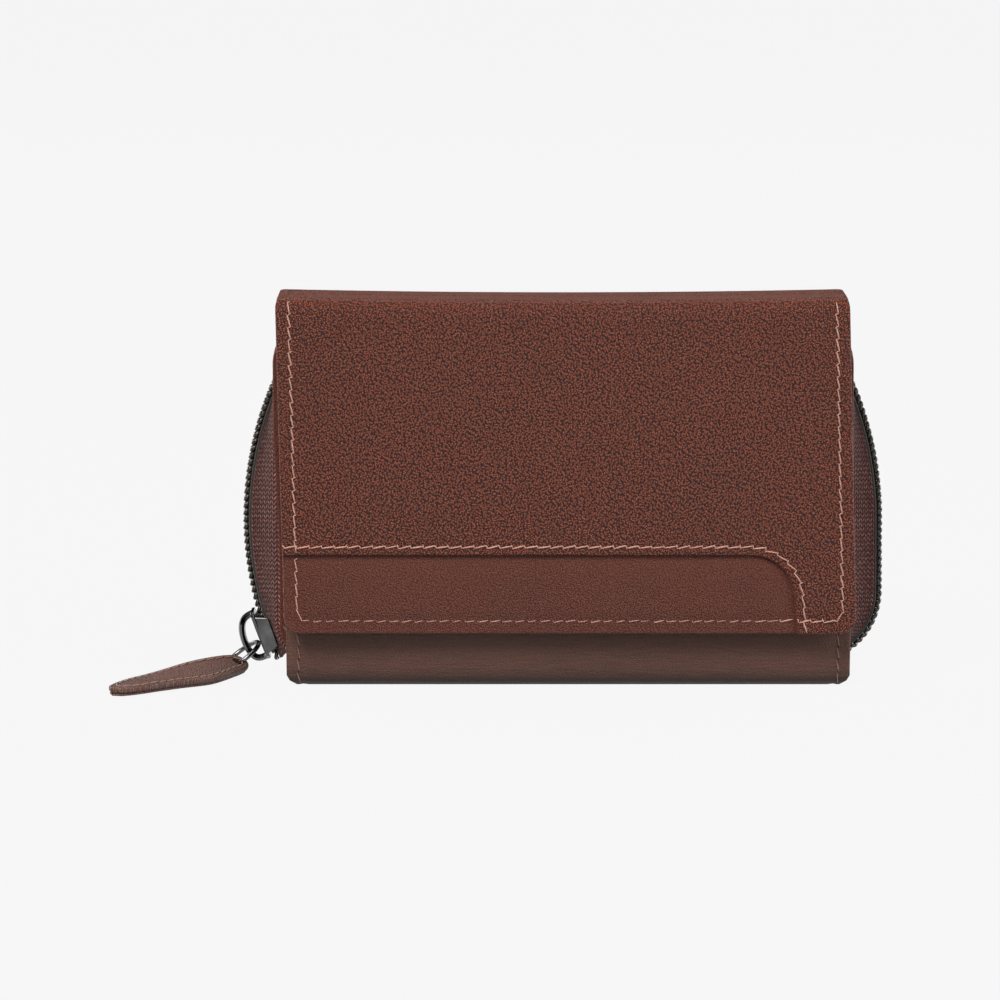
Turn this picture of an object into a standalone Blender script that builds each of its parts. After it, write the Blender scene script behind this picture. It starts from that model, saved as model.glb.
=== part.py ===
"""Flap purse with a zip-round rear compartment, built as separate leather, cloth and metal pieces.

The purse stands on its folded bottom. X runs to the right, Y to the back and Z up. The origin is
on the flat base. The driving dimensions below are millimetres; every helper works in millimetres
and writes metres. The layers are listed from front to back, with a 0.3 mm gap between neighbours.
"""
import math

import bmesh
import bpy
from mathutils import Matrix, Vector

MM = 0.001

# Overall sizes
WIDTH = 130.0
HEIGHT = 90.0
LEATHER = 1.1
GAP = 0.3

# Where each layer starts and ends in Y
FLAP_OUTER = (-16.8, -15.7)
FLAP_INSET = (-15.4, -14.4)
SOCKET_CAP = (-14.1, -13.7)
FLAP_LINING = (-13.4, -12.8)
FRONT_PANEL = (-10.0, -8.8)
STUD_WASHER = (-8.5, -8.1)
FRONT_LINING = (-7.8, -7.2)
CARD_SLOTS = ((-2.9, -2.2), (-1.4, -0.7), (0.1, 0.8))
CARD_BACK = (1.6, 2.4)
ZIP_PANEL = (2.7, 3.5)
TAPE_FRONT_Y = 4.05
INNER_LINING = (4.6, 5.1)
CHAIN_Y = 9.0
SLIP_POCKET = (11.4, 11.9)
REAR_LINING = (12.9, 13.4)
TAPE_REAR_Y = 2 * CHAIN_Y - TAPE_FRONT_Y
STIFFENER = (14.5, 15.3)
REAR_PANEL = (15.6, 16.8)

# Flap: the upper leather overlaps an inset lower panel along a line that ends in a round J
FLAP_BOTTOM = 13.1
FLAP_TOP = 86.8
OVERLAY_EDGE = 31.2
OVERLAY_SIDE = 51.0
OVERLAY_RADIUS = 9.5
BEND_RADIUS = 2.25
SNAP = (0.0, 22.0)

# Card section
FRONT_TOP = 60.0
FRONT_HALF = 64.0
SLOT_HALF = 57.5
SLOT_TOPS = (64.0, 73.0, 82.0)
SLOT_DEPTH = 50.0
SLOT_RIM = 2.5
GUSSET_EDGE = 63.2
GUSSET_FOLD = (60.6, -3.4)

# Zip compartment: panels with round corners, and the chain that runs round them
PANEL_HALF = 66.5
PANEL_BOTTOM = 3.0
PANEL_TOP = 86.0
CORNER_LOW = 9.0
CORNER_HIGH = 14.0
SIDE_CENTRE = (6.1, 36.0)
SIDE_RADIUS = 79.0
SIDE_TILT_TOP = 22.0
SIDE_TILT_END = 24.3
SHOULDER_RADIUS = 29.0
FOOT_CENTRE = (56.9, 19.0)
FOOT_RADIUS = 16.1
FOOT_END = 72.0
COIL_THICKNESS = 1.8
COIL_OUT = 3.0
COIL_IN = 0.6
TAPE_THICKNESS = 0.5
TAPE_SEAM = 4.5
REAR_START = 17.0
LINING_BOX = (-61.5, 61.5, 4.6, 80.5, 6.0, 26.0)

# Slider, jump ring and leather pull
SLIDER_TILT = 19.6
PLATE_IN = 1.45
PLATE_OUT = 2.2
BRIDGE_HEIGHT = 4.5
BRIDGE_THICKNESS = 1.3
BRIDGE_LEG = 1.5
BRIDGE_HALF = 1.8
BRIDGE_BEND = 2.4
WINDOW_BEND = 1.2
SLIDER_HALF = 5.9
RING_RADIUS = 4.9
RING_WIRE = 0.55
RING_TILT = 45.5
RING_SLOT = -0.2
TAB_LENGTH = 41.0
TAB_HALF = 6.6
TAB_END_HALF = 4.4
TAB_LAYER = 0.9
TAB_HEADING = 225.0
TAB_HOLE = 2.85
TAB_HOLE_INSET = 3.6
HOLE_HEIGHT = 2.8

# Hinges
REAR_HINGE = (16.2, 1.2)
SPINE_HINGE = (2.55, 90.0)
FLAP_HINGE = (-16.8, 87.05)

for old in list(bpy.data.objects):
    bpy.data.objects.remove(old, do_unlink=True)

PURSE = bpy.data.collections.new("flap_purse")
CUTTERS = bpy.data.collections.new("cutters")
for group in (PURSE, CUTTERS):
    bpy.context.scene.collection.children.link(group)


def material(name, colour, roughness, metallic=0.0):
    made = bpy.data.materials.new(name)
    made.use_nodes = True
    shader = made.node_tree.nodes["Principled BSDF"]
    shader.inputs["Base Color"].default_value = (*colour, 1.0)
    shader.inputs["Roughness"].default_value = roughness
    shader.inputs["Metallic"].default_value = metallic
    return made


BROWN = material("brown_leather", (0.115, 0.035, 0.022), 0.5)
SMOOTH = material("smooth_leather", (0.095, 0.028, 0.019), 0.45)
TAPE = material("zip_tape", (0.060, 0.014, 0.014), 0.85)
COIL = material("zip_coil", (0.012, 0.011, 0.011), 0.35)
LINING = material("lining", (0.035, 0.018, 0.013), 0.9)
BOARD = material("board", (0.30, 0.24, 0.18), 0.9)
METAL = material("dark_metal", (0.12, 0.12, 0.12), 0.25, 1.0)


def place(made, look, group=PURSE):
    """Link an object to its collection and give it its material."""
    group.objects.link(made)
    made.data.materials.clear()
    made.data.materials.append(look)
    return made


def mesh_object(name, mesh, look, at=(0, 0, 0)):
    data = bpy.data.meshes.new(name)
    mesh.to_mesh(data)
    mesh.free()
    made = place(bpy.data.objects.new(name, data), look)
    made.location = Vector(at) * MM
    return made


def pivot(name, at):
    """An empty on a joint's axis, which carries that joint's pieces."""
    made = bpy.data.objects.new(name, None)
    PURSE.objects.link(made)
    made.location = Vector(at) * MM
    return made


def carry(made, parent):
    """Parent an object to an empty and keep it where it is."""
    made.parent = parent
    made.matrix_parent_inverse = parent.matrix_basis.inverted()
    return made


def arc(centre, radius, start, end, steps):
    """Points on a circle from one angle to another, in degrees."""
    angles = [math.radians(start + (end - start) * i / steps) for i in range(steps + 1)]
    return [(centre[0] + radius * math.cos(a), centre[1] + radius * math.sin(a)) for a in angles]


def rounded(x0, x1, z0, z1, low, high, steps=5):
    """A rectangle with one radius on its bottom corners and another on its top corners."""
    return (
        arc((x0 + low, z0 + low), low, 180, 270, steps)
        + arc((x1 - low, z0 + low), low, 270, 360, steps)
        + arc((x1 - high, z1 - high), high, 0, 90, steps)
        + arc((x0 + high, z1 - high), high, 90, 180, steps)
    )


def sheet(name, outlines, layer, look):
    """A flat sheet that stands in the XZ plane; the first outline is its edge, the rest are holes."""
    curve = bpy.data.curves.new(name, "CURVE")
    curve.dimensions = "2D"
    curve.fill_mode = "BOTH"
    curve.extrude = (layer[1] - layer[0]) / 2 * MM
    for outline in outlines:
        spline = curve.splines.new("POLY")
        spline.points.add(len(outline) - 1)
        for point, (x, z) in zip(spline.points, outline):
            point.co = (x * MM, z * MM, 0, 1)
        spline.use_cyclic_u = True
    made = place(bpy.data.objects.new(name, curve), look)
    made.rotation_euler = (math.pi / 2, 0, 0)
    made.location = (0, (layer[0] + layer[1]) / 2 * MM, 0)
    return made


def as_mesh(made, look):
    """Turn a curve into a mesh with welded caps, in the same place."""
    bpy.context.view_layer.update()
    evaluated = made.evaluated_get(bpy.context.evaluated_depsgraph_get())
    data = bpy.data.meshes.new_from_object(evaluated)
    work = bmesh.new()
    work.from_mesh(data)
    bmesh.ops.remove_doubles(work, verts=work.verts, dist=0.001 * MM)
    work.to_mesh(data)
    work.free()
    name, matrix = made.name, made.matrix_world.copy()
    bpy.data.objects.remove(made, do_unlink=True)
    made = place(bpy.data.objects.new(name, data), look)
    made.matrix_world = matrix
    return made


def block(name, low, high, look, bevel=0.0):
    """A box between two corners, with its edges rounded if a width is given."""
    low, high = Vector(low), Vector(high)
    work = bmesh.new()
    bmesh.ops.create_cube(work, size=1.0)
    bmesh.ops.scale(work, vec=(high - low) * MM, verts=work.verts)
    made = mesh_object(name, work, look, (low + high) / 2)
    if bevel:
        edge = made.modifiers.new("edge", "BEVEL")
        edge.width = bevel * MM
        edge.segments = 2
    return made


def as_cutter(made):
    """Move an object to the cutters' collection and hide it from renders."""
    for group in list(made.users_collection):
        group.objects.unlink(made)
    CUTTERS.objects.link(made)
    made.hide_render = True
    made.display_type = "WIRE"
    return made


def combine(made, other, operation):
    step = made.modifiers.new(other.name, "BOOLEAN")
    step.operation = operation
    step.object = as_cutter(other)
    return made


def surface(name, rows, thickness, look):
    """A thin body around a surface that joins rows of points, thickened evenly on both sides."""
    work = bmesh.new()
    made_rows = [[work.verts.new(Vector(p) * MM) for p in row] for row in rows]
    for first, second in zip(made_rows, made_rows[1:]):
        for i in range(len(first) - 1):
            work.faces.new((first[i], first[i + 1], second[i + 1], second[i]))
    bmesh.ops.recalc_face_normals(work, faces=work.faces)
    made = mesh_object(name, work, look)
    wall = made.modifiers.new("wall", "SOLIDIFY")
    wall.thickness = thickness * MM
    wall.offset = 0.0
    return made


def folded(name, profile, half, thickness, look):
    """A strip folded along X: the profile is a list of (y, z) points on its middle surface."""
    rows = [[(x, y, z) for y, z in profile] for x in (-half, half)]
    return surface(name, rows, thickness, look)


def turned(name, profile, at, look, solid=True):
    """A turned piece on an axis along Y: the profile is (radius, distance towards the front)."""
    work = bmesh.new()
    points = [work.verts.new((r * MM, 0, h * MM)) for r, h in profile]
    for first, second in zip(points, points[1:]):
        work.edges.new((first, second))
    if not solid:
        work.edges.new((points[-1], points[0]))
    made = mesh_object(name, work, look, at)
    made.rotation_euler = (math.pi / 2, 0, 0)
    spin = made.modifiers.new("spin", "SCREW")
    spin.steps = 20
    spin.render_steps = 20
    spin.use_merge_vertices = True
    spin.merge_threshold = 0.00001
    return made


def circle(centre, radius, steps=16):
    return arc(centre, radius, 0, 360, steps)[:-1]


# The zip's path


def chain_path():
    """The chain's middle line with its outward normals, from the lower left, over the top, to the right."""
    path = []

    def run(centre, radius, start, end, steps):
        for x, z in arc(centre, radius, start, end, steps):
            normal = ((x - centre[0]) / radius, (z - centre[1]) / radius)
            if not path or math.dist(path[-1][:2], (x, z)) > 0.05:
                path.append((x, z, *normal))

    tilt = math.radians(SIDE_TILT_TOP)
    reach = SIDE_RADIUS - SHOULDER_RADIUS
    shoulder = (SIDE_CENTRE[0] - reach * math.cos(tilt), SIDE_CENTRE[1] + reach * math.sin(tilt))
    run(SIDE_CENTRE, SIDE_RADIUS, 180 + SIDE_TILT_END, 180 - SIDE_TILT_TOP, 24)
    run(shoulder, SHOULDER_RADIUS, 180 - SIDE_TILT_TOP, 90, 8)
    run((-shoulder[0], shoulder[1]), SHOULDER_RADIUS, 90, SIDE_TILT_TOP, 8)
    run((-SIDE_CENTRE[0], SIDE_CENTRE[1]), SIDE_RADIUS, SIDE_TILT_TOP, 0, 10)
    run(FOOT_CENTRE, FOOT_RADIUS, 0, -FOOT_END, 10)
    return path


def panel_point(x, z, inset):
    """The nearest point on the compartment panel's edge, moved inwards by an inset."""
    radius = CORNER_HIGH if z > (PANEL_BOTTOM + PANEL_TOP) / 2 else CORNER_LOW
    core_x = max(-PANEL_HALF + radius, min(PANEL_HALF - radius, x))
    core_z = max(PANEL_BOTTOM + radius, min(PANEL_TOP - radius, z))
    away = Vector((x - core_x, z - core_z)).normalized()
    return core_x + away.x * (radius - inset), core_z + away.y * (radius - inset)


def coil(name, path, inner, outer):
    rows = [[(x, y, z) for x, z, _, _ in path] for y in (inner, outer)]
    return surface(name, rows, COIL_THICKNESS, COIL)


def tape(name, path, chain_y, panel_y):
    """A woven tape from the chain to the panel's edge, with its seam allowance along the panel."""
    rows = [[(x, chain_y, z) for x, z, _, _ in path]]
    for inset in (0.4, TAPE_SEAM):
        edge = [panel_point(x, z, inset) for x, z, _, _ in path]
        rows.append([(x, panel_y, z) for x, z in edge])
    return surface(name, rows, TAPE_THICKNESS, TAPE)


# Card section


def make_front_panel():
    """The outer leather of the card section, folded under at the bottom to make the base."""
    middle = (FRONT_PANEL[0] + FRONT_PANEL[1]) / 2
    thickness = FRONT_PANEL[1] - FRONT_PANEL[0]
    fold = arc((middle + 2.0, thickness / 2 + 2.0), 2.0, 180, 270, 4)
    panel = folded(
        "front_panel", [(middle, FRONT_TOP), *fold, (1.3, thickness / 2)], FRONT_HALF, thickness, BROWN
    )
    hole = [(1.6, 3.0), (1.6, -3.0)]
    cutter = turned("stud_hole", [(0, 3.0), *hole, (0, -3.0)], (SNAP[0], middle, SNAP[1]), METAL)
    return combine(panel, cutter, "DIFFERENCE")


def card_slot(name, layer, back, top):
    """A card slot: a panel with a raised rim on its sides and bottom, open at the top."""
    bottom = top - SLOT_DEPTH
    slot = block(name, (-SLOT_HALF, layer[0], bottom), (SLOT_HALF, back - GAP, top), LINING)
    half = SLOT_HALF - SLOT_RIM
    inside = (-half, layer[1], bottom + SLOT_RIM), (half, back + 1, top + 1)
    return combine(slot, block(name + "_space", *inside, LINING), "DIFFERENCE")


def card_gusset(name, side):
    """A folded strip that closes one side of the front pocket."""
    outer = GUSSET_EDGE * side
    profile = [(outer, -8.2), (GUSSET_FOLD[0] * side, GUSSET_FOLD[1]), (outer, 1.0)]
    rows = [[(x, y, z) for x, y in profile] for z in (1.6, FRONT_TOP - 2)]
    return surface(name, rows, 0.7, BROWN)


def make_card_section():
    make_front_panel()
    lining = rounded(-61, 61, 2.2, FRONT_TOP - 0.5, 1, 1, 1)
    sheet("front_panel_lining", [lining], FRONT_LINING, LINING)
    backs = [CARD_SLOTS[1][0], CARD_SLOTS[2][0], CARD_BACK[0]]
    names = ("card_slot_front", "card_slot_middle", "card_slot_rear")
    for name, layer, back, top in zip(names, CARD_SLOTS, backs, SLOT_TOPS):
        card_slot(name, layer, back, top)
    sheet("card_back_panel", [rounded(-64.5, 64.5, 1.5, 88.3, 2, 1, 2)], CARD_BACK, BROWN)
    card_gusset("card_gusset_left", -1)
    card_gusset("card_gusset_right", 1)
    at = (SNAP[0], FRONT_PANEL[0], SNAP[1])
    stud = [(0, 2.1), (1.5, 2.1), (1.9, 1.7), (1.9, 1.3), (1.4, 0.9), (1.4, 0.7)]
    stud += [(5.5, 0.7), (5.5, 0.3), (1.1, 0.3), (1.1, -1.8), (0, -1.8)]
    turned("snap_stud", stud, at, METAL)
    near, far = (FRONT_PANEL[0] - y for y in STUD_WASHER)
    washer = [(1.6, near), (4.5, near), (4.5, far), (1.6, far)]
    turned("snap_stud_washer", washer, at, METAL, solid=False)


# Flap


def overlay_outline():
    """The upper leather's outline: straight lower edge, round J, then down to the flap's bottom."""
    half = WIDTH / 2
    corner = (OVERLAY_SIDE - OVERLAY_RADIUS, OVERLAY_EDGE - OVERLAY_RADIUS)
    return (
        [(-half, FLAP_TOP), (-half, OVERLAY_EDGE)]
        + arc(corner, OVERLAY_RADIUS, 90, 0, 8)
        + [(OVERLAY_SIDE, FLAP_BOTTOM)]
        + arc((half - 4, FLAP_BOTTOM + 4), 4, 270, 360, 5)
        + [(half, FLAP_TOP)]
    )


def make_flap():
    half = WIDTH / 2
    hinge = pivot("flap_pivot", (0, *FLAP_HINGE))
    under = OVERLAY_EDGE + 6.8
    lower = arc((-half + 3, FLAP_BOTTOM + 3), 3, 180, 270, 4)
    lower += [(OVERLAY_SIDE + 5, FLAP_BOTTOM), (OVERLAY_SIDE + 5, under), (-half, under)]
    board = [(-half + 1, under + GAP), (OVERLAY_SIDE + 5 + GAP, under + GAP)]
    board += [(OVERLAY_SIDE + 5 + GAP, FLAP_BOTTOM + 1.4), (half - 1, FLAP_BOTTOM + 1.4)]
    board += [(half - 1, FLAP_TOP - 0.4), (-half + 1, FLAP_TOP - 0.4)]
    lining = rounded(-half + 0.6, half - 0.6, FLAP_BOTTOM + 0.7, FLAP_TOP - 0.4, 3, 1, 3)
    pieces = [
        sheet("flap_outer", [overlay_outline()], FLAP_OUTER, BROWN),
        sheet("flap_lower_panel", [lower], FLAP_INSET, SMOOTH),
        sheet("flap_board", [board], FLAP_INSET, BOARD),
        sheet("flap_lining", [lining, circle(SNAP, 2.6)], FLAP_LINING, SMOOTH),
    ]
    at = (SNAP[0], FLAP_LINING[1], SNAP[1])
    socket = [(2.5, -0.3), (2.5, -1.7), (5.6, -1.7), (6.0, -1.3), (6.0, -0.3)]
    near, far = (FLAP_LINING[1] - y for y in SOCKET_CAP)
    cap = [(0, near), (4.5, near), (4.5, far), (2.1, far), (2.1, -0.1), (0, -0.1)]
    pieces.append(turned("snap_socket", socket[::-1], at, METAL, solid=False))
    pieces.append(turned("snap_socket_cap", cap, at, METAL))
    for piece in pieces:
        carry(piece, hinge)


def make_spine():
    """The strip over the top, with its rounded front edge."""
    hinge = pivot("spine_pivot", (0, *SPINE_HINGE))
    top = HEIGHT - LEATHER / 2
    front = FLAP_OUTER[0] + LEATHER / 2 + BEND_RADIUS
    bend = arc((front, top - BEND_RADIUS), BEND_RADIUS, 90, 180, 4)
    profile = [(CARD_BACK[1], top), *bend]
    carry(folded("flap_spine", profile, WIDTH / 2, LEATHER, BROWN), hinge)
    lining = block("spine_lining", (-64.2, front, 87.9), (64.2, 1.0, 88.6), SMOOTH)
    carry(lining, hinge)


# Zip compartment


def make_compartment():
    """The half of the zip compartment that is sewn to the card section."""
    path = chain_path()
    outline = rounded(-PANEL_HALF, PANEL_HALF, PANEL_BOTTOM, PANEL_TOP, CORNER_LOW, CORNER_HIGH)
    sheet("zip_front_panel", [outline], ZIP_PANEL, BROWN)
    tape("zip_tape_front", path, CHAIN_Y - COIL_OUT - GAP, TAPE_FRONT_Y)
    coil("zip_coil_front", path, CHAIN_Y - COIL_OUT, CHAIN_Y - COIL_IN)
    sheet("compartment_lining", [rounded(*LINING_BOX)], INNER_LINING, LINING)
    block("bottom_spine", (-60, CARD_BACK[0], 0), (60, REAR_PANEL[1], 1.2), BROWN)
    x, z, nx, nz = path[-1]
    along = Vector((nz, 0, -nx))
    stop = block("zip_end_stop", (-1.2, -2.2, -0.9), (1.2, 2.2, 0.9), METAL, 0.3)
    stop.rotation_euler = (0, math.atan2(nx, nz), 0)
    stop.location = (Vector((x, CHAIN_Y, z)) + along * 1.7) * MM
    for name, side in (("gusset_left", -1), ("gusset_right", 1)):
        profile = [(58 * side, 5.6), (50 * side, CHAIN_Y), (58 * side, 12.4)]
        rows = [[(px, py, pz) for px, py in profile] for pz in (8, 62)]
        surface("compartment_" + name, rows, 0.4, LINING)


def make_rear_cover():
    """The half of the zip compartment that folds back about the bottom."""
    hinge = pivot("rear_pivot", (0, *REAR_HINGE))
    path = [p for p in chain_path() if p[0] > 0 or p[1] > REAR_START]
    outline = rounded(-PANEL_HALF, PANEL_HALF, PANEL_BOTTOM, PANEL_TOP, CORNER_LOW, CORNER_HIGH)
    pieces = [
        sheet("rear_panel", [outline], REAR_PANEL, BROWN),
        sheet("rear_stiffener", [rounded(-65.5, 65.5, 4, 85, 8, 13)], STIFFENER, BOARD),
        sheet("rear_lining", [rounded(*LINING_BOX)], REAR_LINING, LINING),
        tape("zip_tape_rear", path, CHAIN_Y + COIL_OUT + GAP, TAPE_REAR_Y),
        coil("zip_coil_rear", path, CHAIN_Y + COIL_IN, CHAIN_Y + COIL_OUT),
    ]
    pocket = block("slip_pocket", (-47, SLIP_POCKET[0], 6), (47, REAR_LINING[0] - GAP, 58), LINING)
    inside = (-44.5, SLIP_POCKET[1], 8.5), (44.5, REAR_LINING[0] + 1, 60)
    pieces.append(combine(pocket, block("slip_pocket_space", *inside, LINING), "DIFFERENCE"))
    for piece in pieces:
        carry(piece, hinge)


# Slider, ring and pull


def slider_axes():
    """The slider's middle, its outward direction and its direction up the chain."""
    tilt = math.radians(SLIDER_TILT)
    outward = Vector((-math.cos(tilt), 0, -math.sin(tilt)))
    upward = Vector((-math.sin(tilt), 0, math.cos(tilt)))
    centre = Vector((SIDE_CENTRE[0], CHAIN_Y, SIDE_CENTRE[1])) + outward * SIDE_RADIUS
    return centre, outward, upward


def make_slider():
    """Two plates joined by a thin wedge between the coils, with side flanges and a bridge."""
    hinge = pivot("slider_pivot", (SIDE_CENTRE[0], 0, SIDE_CENTRE[1]))
    half = SLIDER_HALF
    slider = block("slider", (-PLATE_OUT, -4.6, -half), (-PLATE_IN, 4.6, half), METAL)
    pieces = [
        block("inner_plate", (PLATE_IN, -3.0, -half + 0.6), (PLATE_OUT - 0.1, 3.0, half - 0.6), METAL),
        block("wedge", (-PLATE_OUT + 0.2, -0.28, -4.6), (PLATE_OUT - 0.2, 0.28, -1.4), METAL),
        block("front_flange", (-PLATE_OUT + 0.2, -4.6, -4.6), (-0.65, -4.1, 4.6), METAL),
        block("rear_flange", (-PLATE_OUT + 0.2, 4.1, -4.6), (-0.65, 4.6, 4.6), METAL),
    ]
    reach = PLATE_OUT + BRIDGE_HEIGHT
    bend = BRIDGE_BEND
    outer = arc((-reach + bend, -half + bend), bend, 180, 270, 3) + [(-PLATE_OUT + 0.3, -half)]
    outer += [(-PLATE_OUT + 0.3, half)] + arc((-reach + bend, half - bend), bend, 90, 180, 3)
    near, far = -PLATE_OUT, -reach + BRIDGE_THICKNESS
    inner = half - BRIDGE_LEG
    bend = WINDOW_BEND
    window = arc((far + bend, -inner + bend), bend, 180, 270, 2) + [(near, -inner), (near, inner)]
    window += arc((far + bend, inner - bend), bend, 90, 180, 2)
    bridge = as_mesh(sheet("bridge", [outer, window], (-BRIDGE_HALF, BRIDGE_HALF), METAL), METAL)
    for piece in [*pieces, bridge]:
        piece.parent = slider
        piece.matrix_parent_inverse = slider.matrix_basis.inverted()
        combine(slider, piece, "UNION")
    centre, _, _ = slider_axes()
    turn = Matrix.Rotation(math.radians(-SLIDER_TILT), 4, "Y")
    shift = Matrix.Translation(Vector((-(PLATE_OUT + PLATE_IN) / 2 * MM, 0, 0)))
    slider.matrix_basis = Matrix.Translation(centre * MM) @ turn @ shift
    return carry(slider, hinge)


def ring_frame():
    """The ring's point in the bridge, its centre, its direction down to the pull and its hole point."""
    centre, outward, upward = slider_axes()
    start = centre + outward * (PLATE_OUT + (BRIDGE_HEIGHT - BRIDGE_THICKNESS) / 2) + upward * RING_SLOT
    tilt = math.radians(RING_TILT)
    down = Vector((-math.cos(tilt), 0, -math.sin(tilt)))
    middle = start + down * RING_RADIUS
    turn = math.acos((middle.z - HOLE_HEIGHT) / (RING_RADIUS * math.sin(tilt)))
    hole = middle + (down * math.cos(turn) + Vector((0, -1, 0)) * math.sin(turn)) * RING_RADIUS
    wire = down * math.sin(turn) + Vector((0, 1, 0)) * math.cos(turn)
    return start, middle, hole, wire


def make_ring():
    start, middle, _, _ = ring_frame()
    hinge = pivot("ring_pivot", start)
    bpy.ops.mesh.primitive_torus_add(
        major_segments=28, minor_segments=8, major_radius=RING_RADIUS * MM, minor_radius=RING_WIRE * MM
    )
    ring = bpy.context.object
    ring.name = "jump_ring"
    for group in list(ring.users_collection):
        group.objects.unlink(ring)
    place(ring, METAL)
    ring.rotation_euler = (0, -math.radians(RING_TILT), 0)
    ring.location = middle * MM
    carry(ring, hinge)


def tab_outline():
    """A leaf: round at the ring, widest at a quarter of its length, tapering to a round tip."""
    side = []
    steps = 14
    for i in range(1, steps):
        t = i / steps
        swell = math.sin(math.pi * min(1.0, t / 0.5) * 0.5) if t < 0.5 else 1.0
        taper = 1.0 if t < 0.25 else math.sqrt(max(0.0, 1 - ((t - 0.25) / 0.76) ** 2.1))
        side.append((t * TAB_LENGTH, (TAB_END_HALF + (TAB_HALF - TAB_END_HALF) * swell) * taper))
    start = arc((TAB_END_HALF, 0), TAB_END_HALF, 250, 110, 6)
    side = [p for p in side if p[0] > TAB_END_HALF + 0.5]
    tip = [(TAB_LENGTH, 0)]
    return start + side + tip + [(x, -y) for x, y in reversed(side)]


def make_tab():
    """The leather pull: two layers with a hole near the ring, lying with its tip on the table."""
    _, _, hole, _ = ring_frame()
    hinge = pivot("tab_pivot", hole)
    thick = 2 * TAB_LAYER + GAP
    slope = math.asin((HOLE_HEIGHT - thick / 2 - 0.1) / (TAB_LENGTH - TAB_HOLE_INSET))
    turn = Matrix.Rotation(math.radians(TAB_HEADING), 4, "Z") @ Matrix.Rotation(slope, 4, "Y")
    frame = Matrix.Translation(hole * MM) @ turn @ Matrix.Translation((-TAB_HOLE_INSET * MM, 0, 0))
    layers = (("pull_tab_top", (GAP / 2, GAP / 2 + TAB_LAYER)),)
    layers += (("pull_tab_bottom", (-GAP / 2 - TAB_LAYER, -GAP / 2)),)
    for name, (low, high) in layers:
        outlines = [tab_outline(), circle((TAB_HOLE_INSET, 0), TAB_HOLE, 14)]
        layer = sheet(name, outlines, (0, TAB_LAYER), BROWN)
        layer.rotation_euler = (0, 0, 0)
        layer.location = (0, 0, 0)
        layer.matrix_basis = frame @ Matrix.Translation((0, 0, (low + high) / 2 * MM))
        carry(layer, hinge)


make_card_section()
make_spine()
make_flap()
make_compartment()
make_rear_cover()
make_slider()
make_ring()
make_tab()
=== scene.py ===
"""A flap purse with a zip-round compartment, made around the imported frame.

It has leather, thread, lining, zip and metal. The frame gives the panels' places. Pieces
are built flat, as a pattern is cut, and then laid over the purse. Lengths in the functions
below are millimetres, and finish_piece turns them into metres.
"""

import math
import random

import bmesh
import bpy
import numpy as np
from bpy.props import FloatProperty, FloatVectorProperty
from mathutils import Matrix, Vector


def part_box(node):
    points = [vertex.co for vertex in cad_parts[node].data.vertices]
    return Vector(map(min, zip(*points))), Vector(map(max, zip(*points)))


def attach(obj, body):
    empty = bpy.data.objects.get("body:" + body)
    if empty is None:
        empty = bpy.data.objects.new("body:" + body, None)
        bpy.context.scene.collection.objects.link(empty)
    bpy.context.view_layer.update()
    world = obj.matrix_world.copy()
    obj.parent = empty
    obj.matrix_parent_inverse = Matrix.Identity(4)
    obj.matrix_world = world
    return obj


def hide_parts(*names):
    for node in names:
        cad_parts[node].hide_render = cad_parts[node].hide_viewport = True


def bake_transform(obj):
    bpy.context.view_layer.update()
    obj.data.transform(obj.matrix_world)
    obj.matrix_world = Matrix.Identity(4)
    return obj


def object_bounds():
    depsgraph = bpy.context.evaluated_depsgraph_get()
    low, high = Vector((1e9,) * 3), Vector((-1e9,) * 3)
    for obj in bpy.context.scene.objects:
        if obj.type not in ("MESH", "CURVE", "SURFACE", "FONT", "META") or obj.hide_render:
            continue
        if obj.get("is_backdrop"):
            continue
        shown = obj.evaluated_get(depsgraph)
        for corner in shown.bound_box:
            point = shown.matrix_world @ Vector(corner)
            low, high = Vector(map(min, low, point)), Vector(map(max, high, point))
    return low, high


bl_info = {
    "name": "Flap purse",
    "version": (1, 0, 0),
    "blender": (4, 5, 0),
    "location": "3D View > Sidebar > Purse",
    "description": "Builds the leather, thread, zip and metal of a flap purse around its packed frame",
    "category": "Object",
}

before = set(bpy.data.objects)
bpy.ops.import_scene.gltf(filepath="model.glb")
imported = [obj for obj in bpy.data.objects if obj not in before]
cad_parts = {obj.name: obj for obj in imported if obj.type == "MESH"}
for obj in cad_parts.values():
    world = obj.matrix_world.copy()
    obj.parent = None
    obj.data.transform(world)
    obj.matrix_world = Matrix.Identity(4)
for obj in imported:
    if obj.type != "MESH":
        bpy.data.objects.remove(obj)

MM = 0.001
FLOOR_LIGHT = 0.014


def size_of(node):
    """A node's lowest and highest corners in millimetres."""
    low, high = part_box(node)
    return low / MM, high / MM


FLAP_LOW, FLAP_HIGH = size_of("flap_outer")
FRONT_LOW, FRONT_HIGH = size_of("front_panel")
LINING_LOW, LINING_HIGH = size_of("flap_lining")
BACK_LOW, BACK_HIGH = size_of("card_back_panel")
PANEL_LOW, PANEL_HIGH = size_of("zip_front_panel")
REAR_LOW, REAR_HIGH = size_of("rear_panel")
BASE_LOW, BASE_HIGH = size_of("bottom_spine")
COIL_FRONT_Y = size_of("zip_coil_front")[0].y
COIL_REAR_Y = size_of("zip_coil_rear")[1].y
CHAIN_Y = (COIL_FRONT_Y + COIL_REAR_Y) / 2

TOP = size_of("flap_spine")[1].z
FRONT_Y = FLAP_LOW.y
HALF = FLAP_HIGH.x
FOLD = 2.8

# The upper leather's J edge, and where it meets the strip over the top
OVERLAY_EDGE = 31.2
OVERLAY_SIDE = 51.0
OVERLAY_RADIUS = 9.5
SPLIT_Y = -6.0

# The space between two cuts in a pattern, and the stitches in one bmesh
CUT = 1.425
GROUP = 12

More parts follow.
